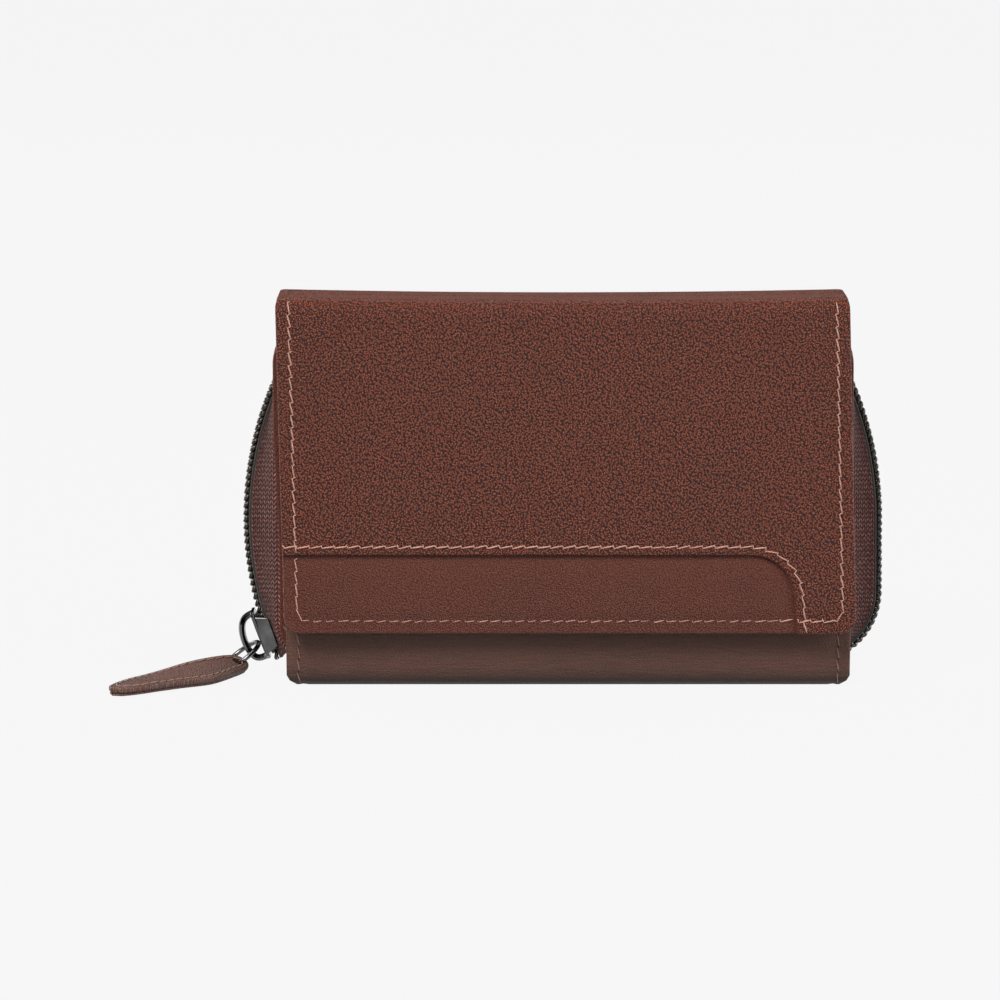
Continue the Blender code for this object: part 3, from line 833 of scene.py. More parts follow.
class PURSE_OT_flap(bpy.types.Operator):
    """Make the flap: upper leather, inset panel, board, lining, the strip over the top and their seams"""

    bl_idname = "purse.flap"
    bl_label = "Flap"

    def execute(self, context):
        outer = over_top(FRONT_Y, TOP, FOLD, settled)
        end_run = run_at(FRONT_Y, TOP, FOLD, SPLIT_Y)
        back_run = run_at(FRONT_Y, TOP, FOLD, BACK_HIGH.y + 0.3)
        bend = ("spine", "flap", (0, FRONT_Y + 3.6, TOP), (0, FRONT_Y, TOP - 4.4))
        inset = 3.0
        seam = 1.95

        outline = overlay_outline(end_run)
        side_lines = [-HALF + inset - 0.5, -HALF + inset, -HALF + inset + 0.5]
        extra = (side_lines + [-v for v in side_lines], [FLAP_LOW.z + inset])
        work = cut_sheet(outline, 1.05, (0.1, 0.14, 0.2, 0.3, 0.5, 0.45, 0.45, 0.45, 0.5), CUT, extra)
        for vert in work.verts:
            x, depth, run = vert.co
            if depth < 0.9:
                dent = 0.0
                if run < end_run - 4:
                    dent = max(groove(x, -HALF + inset, 0.6), groove(x, HALF - inset, 0.6))
                if x > OVERLAY_SIDE:
                    dent = max(dent, groove(run, FLAP_LOW.z + inset, 0.6))
                if run < OVERLAY_EDGE + 6:
                    dent = max(dent, groove(-overlay_gap(x, run), seam, 0.6))
                swell = 0.16 * math.sin(x * 0.055 + 0.6) * math.sin(run * 0.07 + 1.1)
                swell *= smooth((run - FLAP_LOW.z) / 20)
                vert.co.y += 0.17 * dent + swell * smooth((TOP - 4 - run) / 10)
        finish_piece(
            "flap_leather", lay(work, outer), ["grained", "edge"], bend=bend,
            nodes=("flap_outer",),
        )

        strip = rounded(-HALF, HALF, end_run, back_run, 0, 2.0, 4)
        work = cut_sheet(strip, 1.05, (0.1, 0.15, 0.25), CUT)
        top_bend = ("root", "spine", (0, BACK_HIGH.y + 0.7, TOP), (0, BACK_HIGH.y - 3.4, TOP))
        finish_piece(
            "top_leather", lay(work, outer), ["grained", "edge"], bend=top_bend,
            nodes=("flap_spine",),
        )

        lower = arc((-HALF + 3, FLAP_LOW.z + 3), 3, 180, 270, 8)
        under_side, under_top = OVERLAY_SIDE + 4, OVERLAY_EDGE + 5.5
        lower += [(under_side, FLAP_LOW.z), (under_side, under_top), (-HALF, under_top)]
        work = cut_sheet(lower, 1.0, (0.1, 0.14, 0.2, 0.3, 0.5, 0.5, 0.6), CUT)
        for vert in work.verts:
            x, depth, run = vert.co
            if depth < 0.9:
                gap = overlay_gap(x, run)
                plump = smooth(gap / 5.5) * smooth((run - FLAP_LOW.z - 1.0) / 4)
                plump *= smooth((x + HALF - 1) / 5)
                dent = max(groove(run, FLAP_LOW.z + inset, 0.7), groove(x, -HALF + inset, 0.7))
                vert.co.y += -0.55 * plump - 0.25 * smooth(gap / 1.5) + 0.22 * dent * smooth(gap / 1.0)
        inset_place = over_top(FRONT_Y + 1.1, TOP, FOLD, settled)
        finish_piece(
            "flap_inset", lay(work, inset_place), ["smooth", "edge"], "flap",
            nodes=("flap_lower_panel",),
        )

        board = rounded(-HALF + 1.2, HALF - 1.2, OVERLAY_EDGE + 6, 84, 0, 0)
        work = cut_sheet(board, 0.9, (0.2,), 6.0, round_edge=0.2)
        lay(work, over_top(FRONT_Y + 1.3, TOP, FOLD, settled))
        finish_piece("flap_stiffener", work, ["board", "board"], "flap", nodes=("flap_board",))

        lining_y = LINING_LOW.y - 0.95
        lining_top = TOP - 1.25
        lining_place = over_top(lining_y, lining_top, 2.2, settled)
        lining_end = run_at(lining_y, lining_top, 2.2, 0.8)
        pattern = rounded(-HALF + 0.5, HALF - 0.5, FLAP_LOW.z + 0.3, lining_end, 3.5, 1.0)
        work = cut_sheet(pattern, 1.0, (0.1, 0.15, 0.25, 0.4), CUT * 1.5)
        lay(work, lining_place)
        lining_bend = ("spine", "flap", (0, FRONT_Y + 5.0, TOP), (0, FRONT_Y, TOP - 6.0))
        finish_piece(
            "flap_inner_lining", work, ["smooth", "edge"], bend=lining_bend,
            nodes=("flap_lining", "spine_lining"),
        )

        corner = (OVERLAY_SIDE - OVERLAY_RADIUS, OVERLAY_EDGE - OVERLAY_RADIUS)
        foot = FLAP_LOW.z + inset
        j_line = [(-HALF + 0.4, OVERLAY_EDGE + seam)]
        j_line += arc(corner, OVERLAY_RADIUS + seam, 90, 0, 16)
        j_line += [(OVERLAY_SIDE + seam + 0.5, FLAP_LOW.z + 0.3)]
        left = [(-HALF + inset, run_at(FRONT_Y, TOP, FOLD, FRONT_Y + FOLD) - 2.5), (-HALF + inset, foot + 2)]
        left += arc((-HALF + inset + 1.6, foot + 1.6), 1.6, 180, 270, 4)
        left += [(OVERLAY_SIDE - 0.4, foot)]
        right = [(OVERLAY_SIDE + 0.8, foot), (HALF - inset - 1.8, foot)]
        right += arc((HALF - inset - 1.8, foot + 1.8), 1.8, 270, 360, 4)
        right += [(HALF - inset, left[0][1])]
        upper_left = [*[p for p in left if p[1] >= OVERLAY_EDGE], (-HALF + inset, OVERLAY_EDGE + 0.6)]
        lower_left = [(-HALF + inset, OVERLAY_EDGE - 0.9), *[p for p in left if p[1] < OVERLAY_EDGE]]
        raised = over_top(FRONT_Y + 0.13, TOP, FOLD, settled)
        sunk = over_top(FRONT_Y + 0.92, TOP, FOLD, settled)
        sew("flap_seam", [upper_left, right], raised, 3, bend=bend, knots=True)
        sew("overlay_seam", [j_line], raised, 5, body="flap", thick=0.19, knots=True)
        sew("inset_seam", [lower_left], sunk, 7, body="flap", knots=True)
        inner = over_top(lining_y + 1.0, lining_top, 2.2, settled)
        flipped = lambda x, depth, run: inner(x, -depth, run)
        around = rounded(-HALF + inset, HALF - inset, foot, TOP - 6, 1.8, 0.5)
        sew("lining_seam", [closed(around)], flipped, 9, body="flap", look="dark_thread")
        return {"FINISHED"}


# Card section


class PURSE_OT_cards(bpy.types.Operator):
    """Make the card section: front panel folded under, gussets, slots and back panel"""

    bl_idname = "purse.cards"
    bl_label = "Card section"

    def execute(self, context):
        face, radius, shift = FRONT_LOW.y, 2.2, 1.1
        top, half = FRONT_HIGH.z, FRONT_HIGH.x + 0.8
        under = FRONT_HIGH.y - face - 0.2

        def place(x, depth, run):
            """Down the front, round the bottom fold and back under, where run falls below zero."""
            taper = 1 - 0.006 * smooth((40 - run) / 45) - 0.02 * smooth((1.6 - run) / 3.2)
            belly = 0.35 * math.cos(min(1.0, abs(x) / half) * math.pi / 2) * smooth(run / 8)
            quarter = radius * math.pi / 2
            if run >= radius:
                y, z = face + depth - belly, run
            elif run > radius - quarter:
                angle = (radius - run) / radius
                y = face + radius - (radius - depth) * math.cos(angle)
                z = radius - (radius - depth) * math.sin(angle)
            else:
                y, z = face + 2 * radius - run - quarter, depth
            pinch = math.copysign(1.1 * smooth((2.4 - z) / 2.4) * smooth((abs(x) - half + 3) / 3), x)
            return Vector((x * taper - pinch + shift, y, z))

        bottom = -(under - radius - (radius * math.pi / 2 - radius))
        seam_x = half - 2.8
        work = cut_sheet(rounded(-half, half, bottom, top, 0, 1.2, 4), 1.1, (0.1, 0.15, 0.25, 0.4), CUT)
        for vert in work.verts:
            if vert.co.y < 0.9:
                vert.co.y += 0.16 * max(groove(vert.co.x, side * seam_x, 0.6) for side in (-1, 1))
        finish_piece("front_leather", lay(work, place), ["front", "edge"], "root",
                     nodes=("front_panel",))
        seams = [[(side * seam_x, top - 1.5), (side * seam_x, 0.4)] for side in (-1, 1)]
        lifted = lambda x, depth, run: place(x, depth + 0.12, run)
        sew("front_seam", seams, lifted, 11, body="root", look="front_thread", thick=0.14)
        hem = [[(-seam_x, top - 2.2), (seam_x, top - 2.2)]]
        sew("front_hem", hem, lambda x, d, run: place(x, d + 0.02, run), 12, body="root")

        low, high = size_of("front_panel_lining")
        work = cut_sheet(panel_edge(low, high, 1, 1, 2), 1.2, (0.15, 0.3), 6.0, round_edge=0.3)
        finish_piece("front_lining", lay(work, facing_back(high.y)), ["lining", "lining"], "root",
                     nodes=("front_panel_lining",))

        for name in ("card_slot_front", "card_slot_middle", "card_slot_rear"):
            low, high = size_of(name)
            edge = panel_edge(low, high, 1.0, 1.6, 4)
            fold = ((), (high.z - 1.6, high.z - 2.0))
            work = cut_sheet(edge, 0.75, (0.1, 0.12, 0.2, 0.3), 2.4, fold, round_edge=0.3)
            for vert in work.verts:
                if vert.co.y < 0.6:
                    vert.co.y += 0.10 * groove(vert.co.z, high.z - 1.8, 0.35)
            lay(work, upright(low.y))
            finish_piece(name + "_leather", work, ["smooth", "edge"], "root", nodes=(name,))
            seam_x = high.x - 1.4
            lines = [[(side * seam_x, high.z - 0.8), (side * seam_x, low.z + 1.4)] for side in (-1, 1)]
            sew(name + "_seam", lines, upright(low.y + 0.05), 13, "root", look="dark_thread")

        low, high = BACK_LOW, BACK_HIGH
        edge = rounded(low.x + 0.8, high.x + 0.2, low.z, TOP - 1.2, 2, 1, 4)
        work = lay(cut_sheet(edge, 0.9, (0.1, 0.15, 0.3), 4.0, round_edge=0.3), upright(low.y))
        finish_piece("card_back_leather", work, ["smooth", "edge"], "root",
                     nodes=("card_back_panel",))

        for side, word in ((-1, "left"), (1, "right")):
            node = "card_gusset_" + word
            low, high = size_of(node)
            outer = max(abs(low.x), abs(high.x)) - 0.3
            work = bmesh.new()
            bmesh.ops.create_grid(work, x_segments=14, y_segments=20, size=0.5)
            for vert in work.verts:
                across, up = vert.co.x + 0.5, vert.co.y + 0.5
                x = side * (outer - 2.9 * math.sin(math.pi * across) ** 1.3) + shift * 0.6
                y = low.y + 0.1 + (high.y - low.y - 0.1) * across
                vert.co = Vector((x, y, low.z + (high.z - low.z) * up))
            thicken(work, 0.7)
            finish_piece(node + "_leather", work, ["smooth"], "root", nodes=(node,))
        return {"FINISHED"}


# Zip compartment


def chain_path(step=STEP):
    """The chain's middle line with outward normals, from the lower left, over the top, to the right."""
    tilt = math.radians(SIDE_TILT_TOP)
    reach = SIDE_RADIUS - SHOULDER_RADIUS
    shoulder = (SIDE_CENTRE[0] - reach * math.cos(tilt), SIDE_CENTRE[1] + reach * math.sin(tilt))
    stretches = (
        (SIDE_CENTRE, SIDE_RADIUS, 180 + SIDE_TILT_END, 180 - SIDE_TILT_TOP),
        (shoulder, SHOULDER_RADIUS, 180 - SIDE_TILT_TOP, 90),
        ((-shoulder[0], shoulder[1]), SHOULDER_RADIUS, 90, SIDE_TILT_TOP),
        ((-SIDE_CENTRE[0], SIDE_CENTRE[1]), SIDE_RADIUS, SIDE_TILT_TOP, 0),
        (FOOT_CENTRE, FOOT_RADIUS, 0, -FOOT_END),
    )
    corners = []
    for centre, radius, start, end in stretches:
        steps = max(2, round(radius * math.radians(abs(end - start)) / 0.5))
        for x, z in arc(centre, radius, start, end, steps):
            if not corners or math.dist(corners[-1][:2], (x, z)) > 0.05:
                corners.append((x, z, (x - centre[0]) / radius, (z - centre[1]) / radius))
    path, walked, goal = [corners[0]], 0.0, step
    for a, b in zip(corners, corners[1:]):
        length = math.dist(a[:2], b[:2])
        while walked + length >= goal:
            t = (goal - walked) / length
            path.append(tuple(p + (q - p) * t for p, q in zip(a, b)))
            goal += step
        walked += length
    return path


def panel_point(x, z, inset):
    """The nearest point on the compartment panel's edge, moved inwards by an inset."""
    half, bottom, top = PANEL_HIGH.x, PANEL_LOW.z, PANEL_HIGH.z
    radius = CORNER_HIGH if z > (bottom + top) / 2 else CORNER_LOW
    core_x = max(-half + radius, min(half - radius, x))
    core_z = max(bottom + radius, min(top - radius, z))
    away = Vector((x - core_x, z - core_z)).normalized()
    return core_x + away.x * (radius - inset), core_z + away.y * (radius - inset)


def make_tape(name, path, chain_y, panel_y, body, nodes):
    """A woven tape from the chain's cord to the panel, bowed a little, with its weave along it."""
    rows, columns, turn_in = len(path) - 1, 12, 0.7
    work = bmesh.new()
    uv = work.loops.layers.uv.new("UVMap")
    bmesh.ops.create_grid(work, x_segments=rows, y_segments=columns, size=0.5, calc_uvs=True)
    out = 1 if chain_y > panel_y else -1
    for face in work.faces:
        for loop in face.loops:
            along, across = loop.vert.co.x + 0.5, loop.vert.co.y + 0.5
            loop[uv].uv = (along * rows * STEP * MM, across * TAPE_WIDTH * MM)
    for vert in work.verts:
        index = round((vert.co.x + 0.5) * rows)
        share = vert.co.y + 0.5
        x, z, nx, nz = path[index]
        x, z = x - nx * TAPE_START, z - nz * TAPE_START
        if share <= turn_in:
            t = share / turn_in
            edge_x, edge_z = panel_point(x, z, 0.4)
            px, pz = x + (edge_x - x) * t, z + (edge_z - z) * t
            y = chain_y + (panel_y - chain_y) * t**1.5 + out * 0.5 * math.sin(math.pi * t)
        else:
            px, pz = panel_point(x, z, 0.4 + 4.1 * (share - turn_in) / (1 - turn_in))
            y = panel_y
        vert.co = Vector((px, y, pz))
    thicken(work, 0.45)
    finish_piece(name, work, ["tape"], body, nodes=nodes)


def make_coil(name, path, centre_y, hand, body, nodes, turn):
    """A monofilament wound along the chain: flat loops whose heads meet the other side's."""
    step = math.dist(path[0][:2], path[1][:2])
    per_turn = 12
    count = int((len(path) - 1) * step / turn * per_turn)
    points = []
    for i in range(count + 1):
        place = i / per_turn * turn / step
        index = min(len(path) - 2, int(place))
        t = place - index
        x, z, nx, nz = (a + (b - a) * t for a, b in zip(path[index], path[index + 1]))
        angle = 2 * math.pi * i / per_turn
        y = centre_y + hand * 1.15 * math.cos(angle)
        n = 0.16 + 0.42 * math.sin(angle)
        slide = hand * -0.34 * math.sin(angle)
        points.append((x + nx * n + nz * slide, y, z + nz * n - nx * slide))
    wire(name, points, 0.45, "coil", body, nodes)


def tube(points, radius, resolution=1):
    """A round wire along points, as a bmesh with welded ends."""
    curve = bpy.data.curves.new("wire", "CURVE")
    curve.dimensions = "3D"
    curve.bevel_depth = radius * MM
    curve.bevel_resolution = resolution
    curve.use_fill_caps = True
    spline = curve.splines.new("POLY")
    spline.points.add(len(points) - 1)
    for made, point in zip(spline.points, points):
        made.co = (*(v * MM for v in point), 1)
    holder = bpy.data.objects.new("wire", curve)
    bpy.context.scene.collection.objects.link(holder)
    return mesh_of(holder)


def wire(name, points, radius, look, body, nodes, resolution=1):
    """A wire as a piece of its own."""
    finish_piece(name, tube(points, radius, resolution), [look], body, nodes=nodes, sharp=60)


def mesh_of(holder):
    """A curve object's mesh as a bmesh in millimetres, with its caps welded; the object is removed."""
    bpy.context.view_layer.update()
    data = bpy.data.meshes.new_from_object(holder.evaluated_get(bpy.context.evaluated_depsgraph_get()))
    work = bmesh.new()
    work.from_mesh(data)
    bmesh.ops.transform(work, matrix=holder.matrix_world, verts=work.verts)
    bmesh.ops.scale(work, vec=(1 / MM, 1 / MM, 1 / MM), verts=work.verts)
    bmesh.ops.remove_doubles(work, verts=work.verts, dist=0.001)
    bmesh.ops.recalc_face_normals(work, faces=work.faces[:])
    bpy.data.objects.remove(holder, do_unlink=True)
    bpy.data.meshes.remove(data)
    return work


def flat_plate(outlines, thickness, bevel, steps=2):
    """A plate from flat outlines with rounded edges, as a bmesh: x and y across, z through, from 0 up."""
    curve = bpy.data.curves.new("plate", "CURVE")
    curve.dimensions = "2D"
    curve.fill_mode = "BOTH"
    curve.extrude = (thickness / 2 - bevel) * MM
    curve.bevel_depth = bevel * MM
    curve.bevel_resolution = steps
    curve.offset = -bevel * MM
    for outline in outlines:
        spline = curve.splines.new("POLY")
        spline.points.add(len(outline) - 1)
        for point, (x, y) in zip(spline.points, outline):
            point.co = (x * MM, y * MM, 0, 1)
        spline.use_cyclic_u = True
    holder = bpy.data.objects.new("plate", curve)
    bpy.context.scene.collection.objects.link(holder)
    holder.location.z = thickness / 2 * MM
    return mesh_of(holder)


def turned(profile, at, steps=48):
    """A turned piece on an axis along Y; the profile is (radius, distance towards the front)."""
    work = bmesh.new()
    verts = [work.verts.new((r, -h, 0)) for r, h in profile]
    edges = [work.edges.new(pair) for pair in zip(verts, verts[1:] + verts[:1])]
    bmesh.ops.spin(work, geom=verts + edges, cent=(0, 0, 0), axis=(0, 1, 0), angle=2 * math.pi, steps=steps,
                   use_merge=True)
    bmesh.ops.remove_doubles(work, verts=work.verts, dist=0.0005)
    bmesh.ops.translate(work, vec=at, verts=work.verts)
    bmesh.ops.recalc_face_normals(work, faces=work.faces[:])
    return work


class PURSE_OT_compartment(bpy.types.Operator):
    """Make the zip compartment's two halves, their linings, gussets and the leather under it"""

    bl_idname = "purse.compartment"
    bl_label = "Zip compartment"

    def execute(self, context):
        low, high = PANEL_LOW, PANEL_HIGH
        outline = panel_edge(low, high, CORNER_LOW, CORNER_HIGH, 10)
        work = cut_sheet(outline, 0.85, (0.1, 0.12, 0.2, 0.3), 3.0, round_edge=0.3)

        def full(x, depth, run):
            """Fuller at the shoulders, and drawn in lower down, most of all at the slider."""
            swell = 0.15 * smooth((run - 42) / 26) - (1.15 if x < 0 else 0.3) * smooth((60 - run) / 34)
            outwards = math.copysign(1, x) * swell * smooth((abs(x) - 50) / 16)
            return Vector((x + outwards, low.y + depth, run))

        finish_piece("zip_panel_leather", lay(work, full), ["smooth", "edge"], "root",
                     nodes=("zip_front_panel",))
        rim = panel_edge(low, high, CORNER_LOW, CORNER_HIGH, 10, inset=2.2)
        sew("zip_panel_seam", [closed(rim)], upright(low.y + 0.04), 15, body="root",
            look="dark_thread")

        low, high = REAR_LOW, REAR_HIGH
        outline = panel_edge(low, high, CORNER_LOW, CORNER_HIGH, 12)
        work = cut_sheet(outline, 1.15, (0.1, 0.14, 0.2, 0.3, 0.5, 0.5, 0.5, 0.5, 0.5, 0.6), CUT)
        for vert, away in zip(work.verts, edge_distance([(v.co.x, v.co.z) for v in work.verts], outline)):
            x, depth, run = vert.co
            if depth < 1.0:
                puff = 0.75 * smooth((away - 2.5) / 16)
                ripple = 0.10 * math.sin(x * 0.08 + 0.3) * math.sin(run * 0.09)
                vert.co.y += 0.20 * groove(away, 2.6, 0.6) - (puff + ripple) * smooth((away - 3) / 5)
        finish_piece("rear_leather", lay(work, facing_back(high.y)), ["grained", "edge"],
                     "rear_cover", nodes=("rear_panel",))
        rim = panel_edge(low, high, CORNER_LOW, CORNER_HIGH, 12, inset=2.6)
        sew("rear_seam", [closed(rim)], facing_back(high.y - 0.12), 17, body="rear_cover")

        low, high = size_of("rear_stiffener")
        work = cut_sheet(panel_edge(low, high, 8, 13, 6), high.y - low.y, (0.2,), 12.0, round_edge=0.2)
        finish_piece("rear_board", lay(work, upright(low.y)), ["board", "board"], "rear_cover",
                     nodes=("rear_stiffener",))

        for node, name, body, place in (
            ("compartment_lining", "compartment_cloth", "root", facing_back),
            ("rear_lining", "rear_cloth", "rear_cover", upright),
        ):
            low, high = size_of(node)
            face = high.y if place is facing_back else low.y
            work = cut_sheet(panel_edge(low, high, 6, 26), 0.9, (0.15, 0.3), 4.0, round_edge=0.3)
            finish_piece(name, lay(work, place(face)), ["lining", "lining"], body, nodes=(node,))
            rim = panel_edge(low, high, 6, 26, inset=1.5)
            sew(name + "_seam", [closed(rim)], place(face), 19, body=body, look="dark_thread")

        low, high = size_of("slip_pocket")
        fold = ((), (high.z - 4.2, high.z - 4.6))
        work = cut_sheet(panel_edge(low, high, 3, 1, 5), 0.6, (0.15, 0.3, 0.5), 2.5, fold, round_edge=0.25)
        for vert in work.verts:
            if vert.co.y < 0.5:
                vert.co.y += 0.10 * groove(vert.co.z, high.z - 4.4, 0.4)

        def slack(x, depth, run):
            bulge = 0.35 * math.cos(x / high.x * math.pi / 2) * smooth((run - low.z) / 20)
            return Vector((x, low.y + depth - bulge, run))

        finish_piece("pocket_cloth", lay(work, slack), ["lining", "lining"], "rear_cover",
                     nodes=("slip_pocket",))
        around = [(high.x - 1.5, high.z - 0.8), (high.x - 1.5, low.z + 1.5), (low.x + 1.5, low.z + 1.5),
                  (low.x + 1.5, high.z - 0.8)]
        hem = [(low.x + 2.5, high.z - 4.4), (high.x - 2.5, high.z - 4.4)]
        sew("pocket_seam", [around, hem], slack, 21, body="rear_cover", look="dark_thread")

        low, high = BASE_LOW, BASE_HIGH
        radius = 2.4
        flat = high.y - low.y - radius

        def cradle(x, depth, run):
            """Along the base to the back, then up round the fold to the rear panel's lower edge."""
            if run < flat:
                return Vector((x, low.y + run, depth))
            angle = min(math.pi / 2, (run - flat) / radius)
            rise = max(0.0, run - flat - radius * math.pi / 2)
            y = low.y + flat + (radius - depth) * math.sin(angle)
            return Vector((x, y, radius - (radius - depth) * math.cos(angle) + rise))

        reach = flat + radius * math.pi / 2 + 0.9
        work = cut_sheet(rounded(low.x, high.x, 0, reach, 1, 1.5, 3), 1.1, (0.1, 0.2, 0.3), CUT)
        finish_piece("bottom_leather", lay(work, cradle), ["grained", "edge"],
                     bend=("root", "rear_cover", (0, high.y - 3.4, 0.4), (0, high.y + 0.3, 3.4)),
                     nodes=("bottom_spine",))

        for side, word in ((-1, "left"), (1, "right")):
            node = "compartment_gusset_" + word
            low, high = size_of(node)
            outer = max(abs(low.x), abs(high.x))
            work = bmesh.new()
            bmesh.ops.create_grid(work, x_segments=18, y_segments=24, size=0.5)
            for vert in work.verts:
                across, up = vert.co.x + 0.5, vert.co.y + 0.5
                depth = 7.6 * math.sin(math.pi * across) * (0.35 + 0.65 * smooth(up * 3))
                crimp = 0.25 * math.sin(up * 40 + across * 6) * math.sin(math.pi * across)
                x = side * (outer - depth) + crimp
                y = low.y + 0.2 + (high.y - low.y - 0.4) * across
                vert.co = Vector((x, y, low.z + (high.z - low.z) * up))
            thicken(work, 0.4)
            bend = ("root", "rear_cover", (0, low.y + 0.3, 30), (0, high.y - 0.3, 30))
            finish_piece(node + "_cloth", work, ["lining"], bend=bend, nodes=(node,))
        return {"FINISHED"}


class PURSE_OT_zip(bpy.types.Operator):
    """Make the zip's woven tapes, wound coils and end stop"""

    bl_idname = "purse.zip"
    bl_label = "Zip"

    def execute(self, context):
        turn = context.scene.purse_zip.turn / MM
        path = chain_path()
        rear_path = [p for p in path if p[0] > 0 or p[1] > REAR_START]
        front_y = size_of("zip_tape_front")[0].y + 0.25
        rear_y = size_of("zip_tape_rear")[1].y - 0.25
        make_tape("tape_front", path, COIL_FRONT_Y - 0.25, front_y, "root", ("zip_tape_front",))
        make_tape("tape_rear", rear_path, COIL_REAR_Y + 0.25, rear_y, "rear_cover", ("zip_tape_rear",))
        make_coil("coil_front", path, CHAIN_Y - 1.45, 1, "root", ("zip_coil_front",), turn)
        make_coil("coil_rear", rear_path, CHAIN_Y + 1.45, -1, "rear_cover", ("zip_coil_rear",), turn)
        for name, route, y, body in (
            ("cord_front", path, COIL_FRONT_Y + 0.15, "root"),
            ("cord_rear", rear_path, COIL_REAR_Y - 0.15, "rear_cover"),
        ):
            points = [(x - nx * 0.72, y, z - nz * 0.72) for x, z, nx, nz in route]
            wire(name, points, 0.30, "cord", body, (), 2)
        low, high = size_of("zip_end_stop")
        _, _, nx, nz = path[-1]
        work = block((2.4, 4.4, 1.8), 0.4, 3)
        turn_to = Matrix.Rotation(math.atan2(nx, nz), 4, "Y")
        bmesh.ops.transform(work, matrix=Matrix.Translation((low + high) / 2) @ turn_to, verts=work.verts)
        finish_piece("end_stop", work, ["metal"], "root", nodes=("zip_end_stop",))
        return {"FINISHED"}


# Metal and pull


def slider_axes():
    """The slider's middle, its outward direction and its direction up the chain."""
    tilt = math.radians(SLIDER_TILT)
    outward = Vector((-math.cos(tilt), 0, -math.sin(tilt)))
    upward = Vector((-math.sin(tilt), 0, math.cos(tilt)))
    return Vector((SIDE_CENTRE[0], CHAIN_Y, SIDE_CENTRE[1])) + outward * SIDE_RADIUS, outward, upward


def ring_frame():
    """The ring's middle, its direction down to the pull, its side towards the back, and the pull's hole."""
    centre, outward, upward = slider_axes()
    start = centre + outward * (PLATE_OUT + 0.9) - upward * 2.0
    tilt = math.radians(RING_TILT)
    down = Vector((-math.cos(tilt), 0, -math.sin(tilt)))
    middle = start + down * RING_RADIUS
    turn = math.radians(RING_TURN)
    across = Vector((-math.sin(turn), math.cos(turn), 0))
    side = (across - down * across.dot(down)).normalized()
    for share in range(90):
        angle = math.radians(share)
        hole = middle + (down * math.cos(angle) - side * math.sin(angle)) * RING_RADIUS
        if hole.z >= HOLE_HEIGHT:
            break
    return middle, down, side, hole


